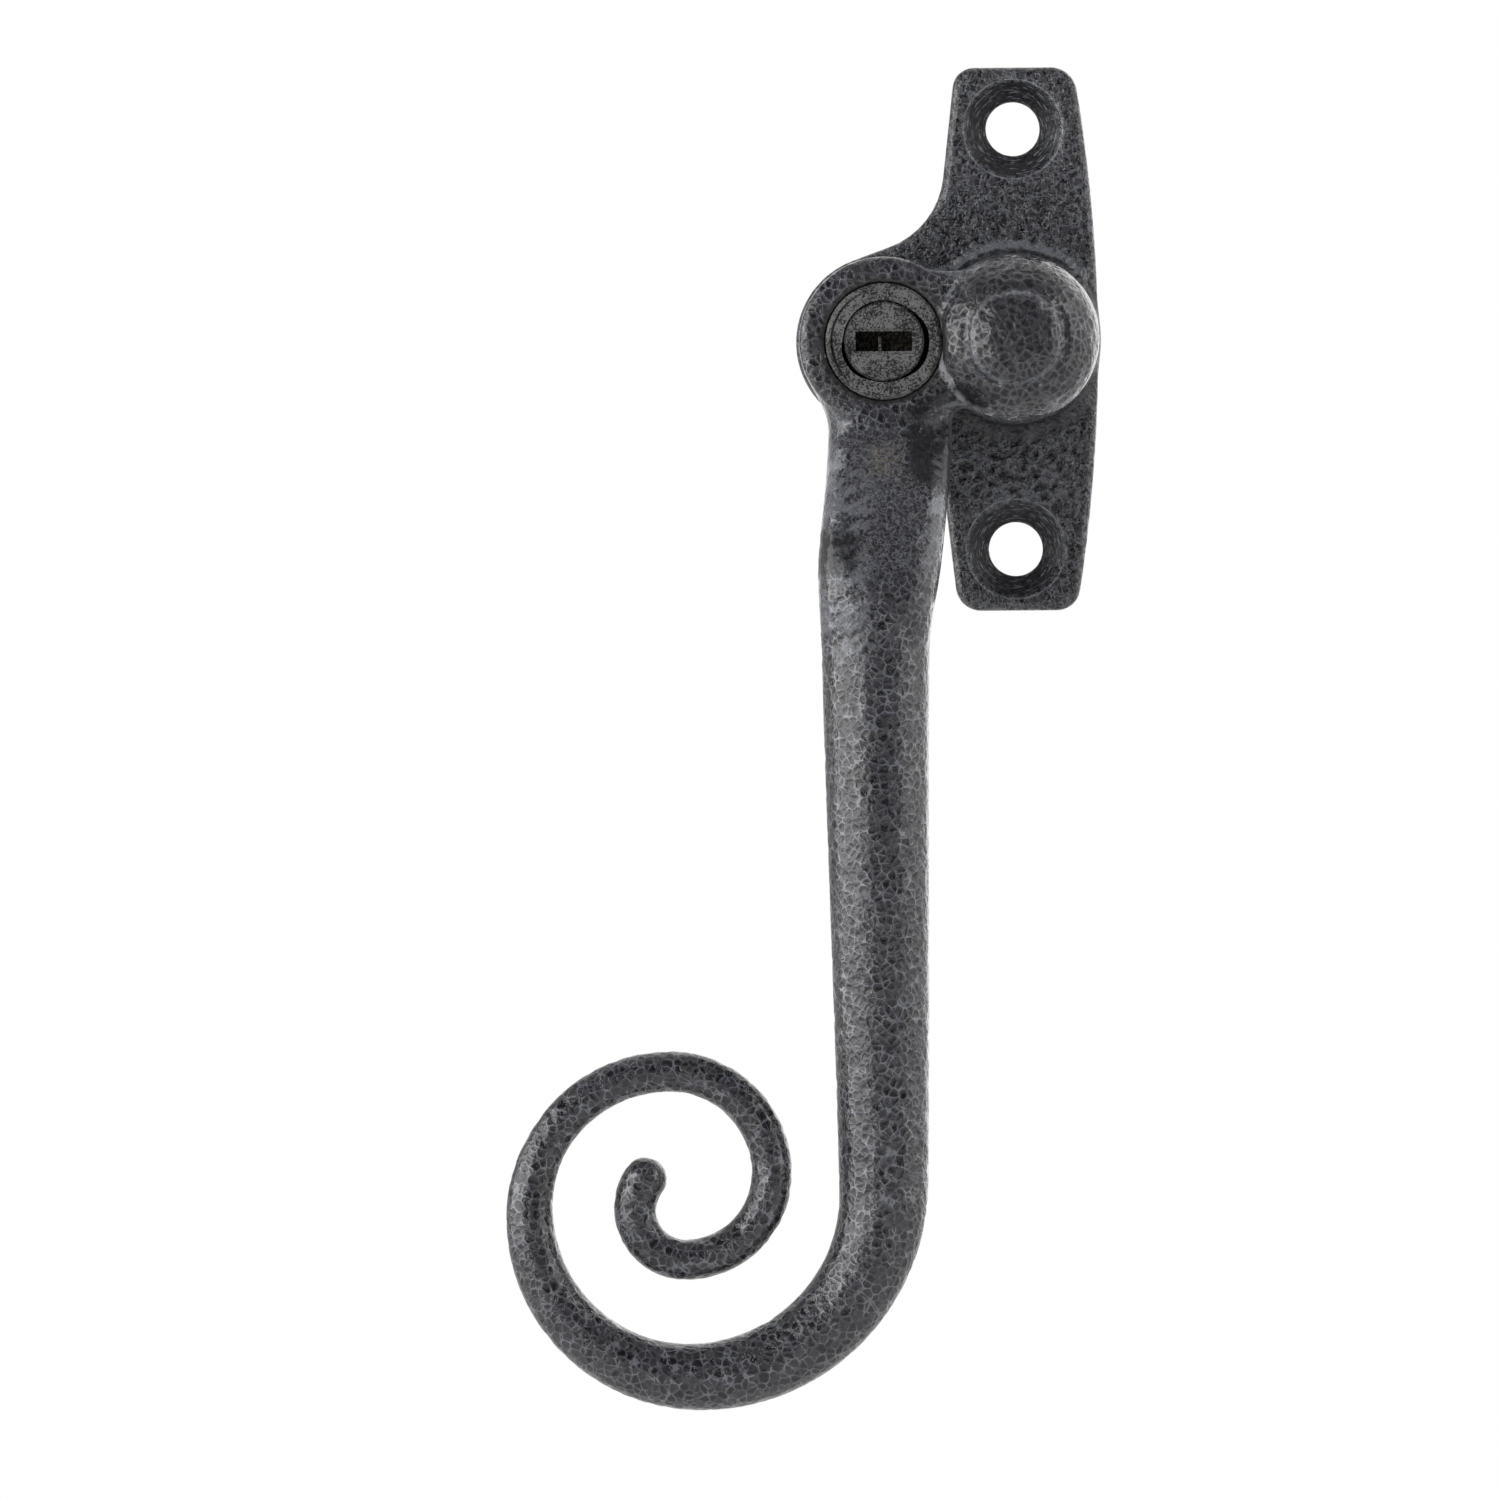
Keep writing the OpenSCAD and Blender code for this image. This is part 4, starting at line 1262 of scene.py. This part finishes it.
        # Painted highlights: a thin line on the hub's rim, the cap's step and the ripples' crests.
        rim = smooth_step(out, self.hub_r - 0.3, self.hub_r - 0.1)
        rim *= fall(np.abs(z - lay.boss_z + self.hub_drop), 0.4, 0.9)
        edge = np.maximum(marks["edge"], rim) * (1.0 - marks["calm_shade"]) * (1.0 - 0.6 * marks["deep"])
        step = 0.45 * fall(np.abs(out - self.cap_r + 0.05), 0.1, 0.45) * raised
        marks["edge"] = np.max((edge, step, 0.6 * crest * place * (1.0 - 0.8 * flank)), axis=0)

    def build(self, effects: Effects) -> Piece:
        """Make the casting and dress it.

        Args:
            effects: The shared effects.

        Returns:
            The piece.
        """
        edge = self.width.max() / 2.0 + 2.0
        low = self.path.min(axis=0) - edge
        low[2] = -0.6
        high = np.maximum(self.path.max(axis=0) + edge, (self.hub_r + 1.5, self.hub_r + 1.5, 0.0))
        shape = cast(self.distance, low, high, self.step, self.relief)
        self.mark(shape)
        piece = mesh_object("handle_casting", shape, LEVER_PAINT.material(effects))
        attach(piece, Body.HANDLE.value)
        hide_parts("handle")
        return piece


@dataclass
class BackplateCasting:
    """Two-screw backplate with a raised seat, a lobe under the lock and a keep for its bolt."""

    layout: Layout
    screw_pitch: float = 43.0
    hole_r: float = 2.75
    sink_r: float = 5.1
    end: float = 6.3
    half_w: float = 8.6
    edge_in: float = 2.7
    hip_in: float = 0.85
    bow_r: float = 163.0
    bow_end: float = 4.0
    corner_r: tuple[float, ...] = (2.4, 2.7, 2.2, 2.6)
    seat_r: float = 8.9
    seat_in: float = 0.12
    seat_edge: float = 0.3
    foot_w: float = 1.5
    foot_in: float = 1.3
    foot_sunk: float = 0.3
    lobe_r: float = 8.95
    lobe_lean: float = math.radians(20.0)
    lobe_fillet: float = 8.5
    ledge_in: float = 1.4
    ledge_fillet: float = 0.5
    slab_fillet: float = 0.7
    edge_front: float = 0.9
    edge_back: float = 0.25
    recess_r: float = 7.7
    recess_d: float = 3.4
    bush_r: float = 7.02
    keep_r: float = 2.3
    step: float = 0.2
    mark_pitch: float = 0.68
    mark_height: float = 0.045
    lump_pitch: float = 1.35
    lump_height: float = 0.24
    # Angle round the pivot, in degrees, where the painted highlight of the seat's crease is brightest.
    highlight_turn: float = 125.0

    def __post_init__(self) -> None:
        """Work out the outline."""
        self.half_h = self.screw_pitch / 2.0 + self.end
        self.outline = self.plate_outline()

    @staticmethod
    def rounded(corners: list[Point]) -> Array:
        """Outline whose corners are rounded, each by its own radius.

        Args:
            corners: x, y and radius of each corner.

        Returns:
            Points of the outline.
        """
        out = []
        for i, (x, y, r) in enumerate(corners):
            c = np.array([x, y])
            if r == 0.0:
                out.append(c[None, :])
                continue
            u, v = (np.array(corners[j % len(corners)][:2]) - c for j in (i - 1, i + 1))
            u, v = u / np.linalg.norm(u), v / np.linalg.norm(v)
            half = math.acos(float(np.clip(u @ v, -1.0, 1.0))) / 2.0
            middle = c + (u + v) / np.linalg.norm(u + v) * r / math.sin(half)
            t1, t2 = (c + w * r / math.tan(half) - middle for w in (u, v))
            start = math.atan2(t1[1], t1[0])
            turn = math.atan2(t1[0] * t2[1] - t1[1] * t2[0], t1 @ t2)
            a = start + turn * np.linspace(0.0, 1.0, max(5, int(abs(turn) / 0.12)))
            out.append(middle + r * np.column_stack([np.cos(a), np.sin(a)]))
        return np.concatenate(out)

    def plate_outline(self) -> Array:
        """Outline of the plate: bowed right side, straight left sides and the round lobe.

        Returns:
            Points of the outline, anticlockwise.
        """
        lock, lean = np.array(self.layout.lock), self.lobe_lean
        first, last = math.pi / 2 + lean, 1.5 * math.pi - lean

        def bow(y: float) -> float:
            """How far right the bowed side stands at a height."""
            return self.half_w - y * y / (2.0 * self.bow_r)

        def lobe(angle: float) -> Array:
            """Point of the lobe at an angle."""
            return lock + self.lobe_r * np.array([math.cos(angle), math.sin(angle)])

        edge_x, hip_x = self.half_w - self.edge_in, self.half_w - self.hip_in
        up, down = lobe(first), lobe(last)
        hip_up = up[1] + math.tan(lean) * (-hip_x - up[0])
        hip_down = down[1] - math.tan(lean) * (-hip_x - down[0])
        top, reach = self.half_h, self.half_h - self.bow_end
        side = [(bow(y), y, 0.0) for y in np.linspace(-reach, reach, 17)]
        round_lobe = [(*lobe(a), 0.0) for a in np.linspace(first, last, 30)]
        low_right, high_right, high_left, low_left = self.corner_r
        return self.rounded([
            (bow(top), -top, low_right), *side, (bow(top), top, high_right), (-edge_x, top, high_left),
            (-hip_x, hip_up, self.lobe_fillet), *round_lobe,
            (-hip_x, hip_down, self.lobe_fillet), (-edge_x, -top, low_left)])

    def distance(self, p: Array) -> Array:
        """Distance to the plate: rounded slab, seat, sloping foot and ledge, less its holes.

        Args:
            p: Points, one row each.

        Returns:
            The signed distances.
        """
        lay, z, r = self.layout, p[:, 2], from_axis(p)
        side = outline_distance(p[:, 0], p[:, 1], self.outline)
        slab = np.maximum(rounded_corner(side, z - lay.plate_t, self.edge_front),
                          rounded_corner(side, -z, self.edge_back))
        seat = rounded_corner(r - self.seat_r + self.seat_in, z - lay.seat_z, self.seat_edge)
        seat = np.maximum(seat, 0.6 - z)
        foot_z = lay.plate_t - self.foot_sunk
        foot = np.maximum((r - self.seat_r - self.foot_w + z - foot_z) * math.sqrt(0.5), foot_z - z)
        foot = np.maximum(foot, np.maximum(p[:, 0] - self.half_w + self.foot_in, z - lay.seat_z))
        ledge_r = self.lobe_r - self.ledge_in
        ledge = bored(p, lay.lock, ledge_r, foot_z, lay.seat_z)
        bridge = block(p, (lay.lock[0], lay.lock[1] - ledge_r + 0.3, foot_z),
                       (0.0, lay.lock[1] + ledge_r - 0.3, lay.seat_z))
        raised = join(join(seat, foot, self.ledge_fillet), np.minimum(ledge, bridge), self.ledge_fillet)
        solid = join(slab, raised, self.slab_fillet)
        from_screw = self.from_screw(p)
        sink = (from_screw - self.sink_r - z + lay.plate_t) * math.sqrt(0.5)
        tools = (
            (np.minimum(from_screw - self.hole_r, sink), 0.4),
            (bored(p, PIVOT, self.recess_r, -FAR, self.recess_d), 0.2),
            (bored(p, PIVOT, self.bush_r, self.recess_d - 1.0, FAR), 0.2),
            (bored(p, lay.lock, self.keep_r, self.recess_d, FAR), 0.25))
        for tool, edge in tools:
            solid = cut(solid, tool, edge)
        return solid

    def from_screw(self, p: Array) -> Array:
        """How far each point stands from the axis of the nearer screw."""
        return np.hypot(p[:, 0], np.abs(p[:, 1]) - self.screw_pitch / 2.0)

    def relief(self, p: Array) -> Array:
        """Height of the fine marks and of the lumps, left off the back and the seat's top.

        Args:
            p: Points, one row each.

        Returns:
            The heights.
        """
        top = self.layout.seat_z
        front = between(p[:, 2], (0.3, 1.2), (top - 0.5, top - 0.1))
        clear = smooth_step(from_axis(p), self.recess_r + 0.2, self.recess_r + 0.9)
        crest, place = self.lumpy(p)
        lump = self.lump_height * place * (crest - 1.0)
        return (self.mark_height * (hammer_marks(p, self.mark_pitch) - 1.0) + lump) * front * clear

    def lumpy(self, p: Array) -> tuple[Array, Array]:
        """Lumps round the seat's foot and on the lower plate: hammer marks drawn out along a slant.

        Args:
            p: Points, one row each.

        Returns:
            Height of the lumps from 0 to 1, and how far each point lies in their place.
        """
        x, y, z = p.T
        streak = np.stack([(x - y) * 0.8, (x + y) * 0.6, z * 0.5], axis=1)
        foot = fall(np.abs(from_axis(p) - self.seat_r - 0.9), 0.9, 1.6)
        lower = between(-y, (9.0, 11.5), (16.5, 20.0))
        inside = smooth_step(-outline_distance(x, y, self.outline), 1.0, 2.2)
        return hammer_marks(streak, self.lump_pitch), np.maximum(lower, 0.7 * foot) * inside

    def mark(self, shape: Casting) -> None:
        """Mark the places that the paint shows.

        Calm is painted shade with smoother paint: the cones of the countersinks, the seat's lower foot and
        the ring of shadow round the seat. Crease is painted highlight, brightest at the seat's upper left,
        and is broken by the lumps.
        Dent is painted shade in the hollows between the lumps. Edge has their crests as painted highlight,
        and neither the countersinks' rims nor the lower foot.

        Args:
            shape: The plate.
        """
        p, marks = shape.points, shape.marks
        from_screw, off_seat = self.from_screw(p), from_axis(p) - self.seat_r
        cone = fall(from_screw, self.sink_r - 0.4, self.sink_r - 0.15) * smooth_step(p[:, 2], 0.3, 0.8)
        lower = fall(np.abs(off_seat - 0.75), 0.8, 1.4) * fall(p[:, 1], -3.0, 5.0)
        # Painted shade with smoother paint: the countersinks' cones, the lower foot and a ring round the
        # seat.
        marks["calm_shade"] = np.max((cone, 0.6 * lower, 0.8 * fall(off_seat, 0.5, 1.0)), axis=0)
        crest, place = self.lumpy(p)
        turn = np.degrees(np.arctan2(p[:, 1], p[:, 0]))
        # Painted highlight: the crease is brightest toward the upper left, where the light falls.
        lit_side = 0.3 + fall(np.abs(turn - self.highlight_turn), 15.0, 45.0)
        marks["crease_highlight"] *= (1.0 - lower) * lit_side * (0.3 + 0.7 * smooth_step(crest, 0.2, 0.7))
        # Painted shade in the hollows between the lumps.
        marks["dent_shade"] = fall(crest, 0.05, 0.45) * place * (1.0 - cone)
        rim = fall(np.abs(from_screw - self.sink_r), 0.5, 0.9)
        # Painted highlight on the lumps' crests.
        crests = 0.3 * smooth_step(crest, 0.5, 1.0) * place
        marks["edge"] = np.maximum(marks["edge"] * (1.0 - rim), crests) * (1.0 - lower)

    def build(self, effects: Effects) -> Piece:
        """Make the plate and dress it.

        Args:
            effects: The shared effects.

        Returns:
            The piece.
        """
        low = (*(self.outline.min(axis=0) - 1.5), -1.0)
        right_top = np.maximum(self.outline.max(axis=0) + 1.5, (self.seat_r + 1.5, 0.0))
        high = (*right_top, self.layout.seat_z + 1.2)
        shape = cast(self.distance, low, high, self.step, self.relief)
        self.mark(shape)
        piece = mesh_object("backplate_casting", shape, PLATE_PAINT.material(effects))
        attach(piece, Body.PLATE.value)
        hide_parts("backplate")
        return piece


@dataclass
class LockBarrel:
    """Barrel of the key lock, with the uneven dark gap that the plug leaves in its mouth.

    A bulge is its middle and half width, in degrees round the lock, and its size.
    """

    layout: Layout
    outer_r: float = 5.95
    bore_r: float = 4.15
    bottom: float = 8.22
    top: float = 21.9
    bevel: float = 0.3
    chamber_r: float = 4.4
    chamber_z: float = 14.1
    seat_z: float = 15.0
    lip_r: float = 3.0
    room_r: float = 4.78
    room: Pair = (15.5, 21.1)
    gap: float = 0.05
    mouth_bulges: tuple[Point, ...] = ((-8.0, 66.0, 0.46), (212.0, 42.0, 0.28))
    groove_r: float = 5.36
    groove_half: Pair = (0.12, 0.09)
    groove_d: float = 0.02
    groove_bulge: Point = (165.0, 70.0, 0.5)
    sides: int = 240
    sharp: float = math.radians(20.0)

    def build(self, effects: Effects) -> Piece:
        """Make the barrel: a half section turned round the lock axis, whose mouth widens with the angle.

        Args:
            effects: The shared effects.

        Returns:
            The piece.
        """
        turn = np.linspace(0.0, 2.0 * math.pi, self.sides, endpoint=False)

        def bulge(middle: float, half: float, size: float) -> Array:
            """Rise from 0 to a size and back about an angle."""
            off = (np.degrees(turn) - middle + 180.0) % 360.0 - 180.0
            return size * fall(np.abs(off), half * 0.25, half)

        mouth = self.bore_r + self.gap
        for shape in self.mouth_bulges:
            mouth = mouth + bulge(*shape)
        sunk = self.top - self.groove_d - bulge(*self.groove_bulge)
        (low, high), (wide, narrow) = self.room, self.groove_half
        section = (
            (self.outer_r - self.bevel, self.bottom), (self.outer_r, self.bottom + self.bevel),
            (self.outer_r, self.top - self.bevel), (self.outer_r - self.bevel, self.top),
            (self.groove_r + wide, self.top), (self.groove_r + narrow, sunk), (self.groove_r - narrow, sunk),
            (self.groove_r - wide, self.top), (mouth, self.top), (mouth, high), (self.room_r, high),
            (self.room_r, low), (self.bore_r, low), (self.bore_r, self.seat_z), (self.lip_r, self.seat_z),
            (self.lip_r, self.chamber_z), (self.chamber_r, self.chamber_z), (self.chamber_r, self.bottom))
        r, z = (np.stack([np.broadcast_to(p[k], turn.shape) for p in section], axis=1) for k in (0, 1))
        x, y = self.layout.lock
        points = np.stack([x + r * np.cos(turn)[:, None], y + r * np.sin(turn)[:, None], z], axis=2)
        n, m = r.shape
        a, b = np.meshgrid(np.arange(n), np.arange(m), indexing="ij")
        c, d = (a + 1) % n, (b + 1) % m
        quads = np.stack([a * m + b, c * m + b, c * m + d, a * m + d], axis=2).reshape(-1, 4)
        piece = mesh_object("lock_barrel_body", Casting(points.reshape(-1, 3), quads),
                            LOCK_ZINC.material(effects))
        piece.data.set_sharp_from_angle(angle=self.sharp)
        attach(piece, Body.HANDLE.value)
        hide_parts("lock_barrel")
        return piece


@dataclass
class Hardware:
    """Lock pieces, pivot pieces and fastenings that keep their CAD shapes and get real finishes."""

    zinc: tuple[str, ...] = ("lock_plug",)
    steel: tuple[str, ...] = ("spindle", "thrust_washer", "wave_washer", "retaining_ring", "lock_bolt",
                              "plug_clip", "barrel_pin", "wafer_springs")
    dark_steel: tuple[str, ...] = ("spindle_grub_screw", "cam_pin")
    brass: tuple[str, ...] = ("wafer_1", "wafer_2", "wafer_3", "wafer_4", "guide_bush")
    nylon: tuple[str, ...] = ("pivot_bush",)

    def dress(self, nodes: dict[str, Piece], effects: Effects) -> None:
        """Give each piece its finish.

        Args:
            nodes: The CAD nodes by name.
            effects: The shared effects.
        """
        finishes = ((self.zinc, LOCK_ZINC), (self.steel, STEEL), (self.dark_steel, DARK_STEEL),
                    (self.brass, BRASS), (self.nylon, NYLON))
        for names, finish in finishes:
            material = finish.material(effects)
            for name in names:
                mesh = nodes[name].data
                mesh.materials.clear()
                mesh.materials.append(material)
                LOG.info("%s dressed in %s", name, material.name)


@dataclass(frozen=True)
class Softbox:
    """Rectangular lamp that looks at a target, in metres."""

    name: str
    place: Point
    target: Point
    size: Pair
    radiance: float


@dataclass
class Studio:
    """White background, pale floor, soft lamps and the camera, in metres."""

    frame_width: float = 0.15366
    frame_middle: Pair = (-0.02739, -0.04186)
    distance: float = 6.0
    sensor: float = 36.0
    clip: Pair = (0.1, 100.0)
    roll: float = math.radians(0.45)
    floor_z: float = -0.135
    floor_half: float = 0.8
    floor_tones: tuple[Colour, Colour] = ((0.80, 0.80, 0.80), (0.84, 0.84, 0.84))
    floor_rough: float = 0.7
    room: float = 0.095
    fill: float = 0.42
    left_wall: float = 0.3
    back_wall: float = 0.8
    lamps: tuple[Softbox, ...] = (
        Softbox("left_softbox", (-0.62, -0.62, 0.0), (0.0, -0.62, 0.0), (1.5, 0.72), 3.0),
        Softbox("right_softbox", (0.80, -0.25, 0.26), (-0.02, 0.0, -0.04), (0.8, 0.8), 1.65),
        Softbox("rim_softbox", (0.36, 0.72, 0.0), (0.0, 0.0, -0.04), (0.5, 1.2), 0.55),
        Softbox("top_softbox", (-0.10, -0.10, 0.85), (-0.02, 0.0, -0.04), (0.9, 0.5), 0.32))

    def light(self) -> None:
        """Place the lamps, whose power is radiance times pi times area."""
        for lamp in self.lamps:
            data = bpy.data.lights.new(lamp.name, "AREA")
            data.shape = "RECTANGLE"
            data.size, data.size_y = lamp.size
            data.energy = lamp.radiance * math.pi * lamp.size[0] * lamp.size[1]
            obj = linked(lamp.name, data)
            obj.location = lamp.place
            aim = Vector(lamp.target) - Vector(lamp.place)
            obj.rotation_euler = aim.to_track_quat("-Z", "Y").to_euler()
            obj.visible_camera = False

    def background(self) -> None:
        """White to the camera and in reflections of the wall behind; a dim room in front."""
        world = bpy.data.worlds.new("studio")
        bpy.context.scene.world = world
        world.use_nodes = True
        nodes = Nodes(world.node_tree)
        path = nodes.add("ShaderNodeLightPath").outputs
        toward = nodes.add("ShaderNodeTexCoord").outputs["Generated"]
        x, y, _ = nodes.add("ShaderNodeSeparateXYZ", {0: toward}).outputs
        behind = nodes.rise(y, -0.1, 0.35)
        right = nodes.rise(x, -0.35, 0.05, self.left_wall, 1.0)
        mirrored = nodes.times(path["Is Glossy Ray"], nodes.times(behind, right))
        seen = nodes.math("MAXIMUM", mirrored, path["Is Transmission Ray"])
        seen = nodes.math("MAXIMUM", path["Is Camera Ray"], seen)
        front = nodes.ease(path["Is Glossy Ray"], self.fill, self.room)
        room = nodes.ease(behind, front, nodes.times(right, self.back_wall))
        shader = world.node_tree.nodes["Background"]
        nodes.feed(shader, {"Color": (1.0, 1.0, 1.0), "Strength": nodes.ease(seen, room, 1.0)})

    def floor(self) -> None:
        """Pale floor under the object, with a faint mottle."""
        h, z = self.floor_half, self.floor_z
        mesh = bpy.data.meshes.new("floor")
        mesh.from_pydata([(-h, -h, z), (h, -h, z), (h, h, z), (-h, h, z)], [], [(0, 1, 2, 3)])
        obj = linked("floor", mesh)
        material, nodes, shader, where = material_start("pale_floor")
        mottle = nodes.noise(where, 6.0, 3.0)
        tone = nodes.mix(mottle, *self.floor_tones)
        nodes.feed(shader, {"Base Color": tone, "Roughness": self.floor_rough})
        mesh.materials.append(material)

    def camera(self) -> None:
        """Straight-on camera with a long lens and the photograph's slight lean."""
        data = bpy.data.cameras.new("camera")
        data.sensor_width = self.sensor
        data.lens = data.sensor_width * self.distance / self.frame_width
        data.clip_start, data.clip_end = self.clip
        obj = linked("camera", data)
        obj.location = (self.frame_middle[0], -self.distance, self.frame_middle[1])
        obj.rotation_euler = Euler((math.pi / 2, self.roll, 0.0), "XYZ")
        bpy.context.scene.camera = obj

    def build(self) -> None:
        """Set up the whole studio."""
        bpy.context.scene.view_settings.view_transform = "Standard"
        self.light()
        self.background()
        self.floor()
        self.camera()


def main() -> None:
    """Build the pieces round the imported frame."""
    logging.basicConfig(level=logging.INFO, format="%(message)s")
    for obj in list(bpy.data.objects):
        bpy.data.objects.remove(obj)
    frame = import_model()
    effects, layout = Effects(), Layout()
    for assembly in (HandleCasting(layout), BackplateCasting(layout), LockBarrel(layout)):
        piece = assembly.build(effects)
        LOG.info("%s: %d faces", piece.name, len(piece.data.polygons))
    Hardware().dress(frame["nodes"], effects)
    Studio().build()


if __name__ == "__main__":
    main()
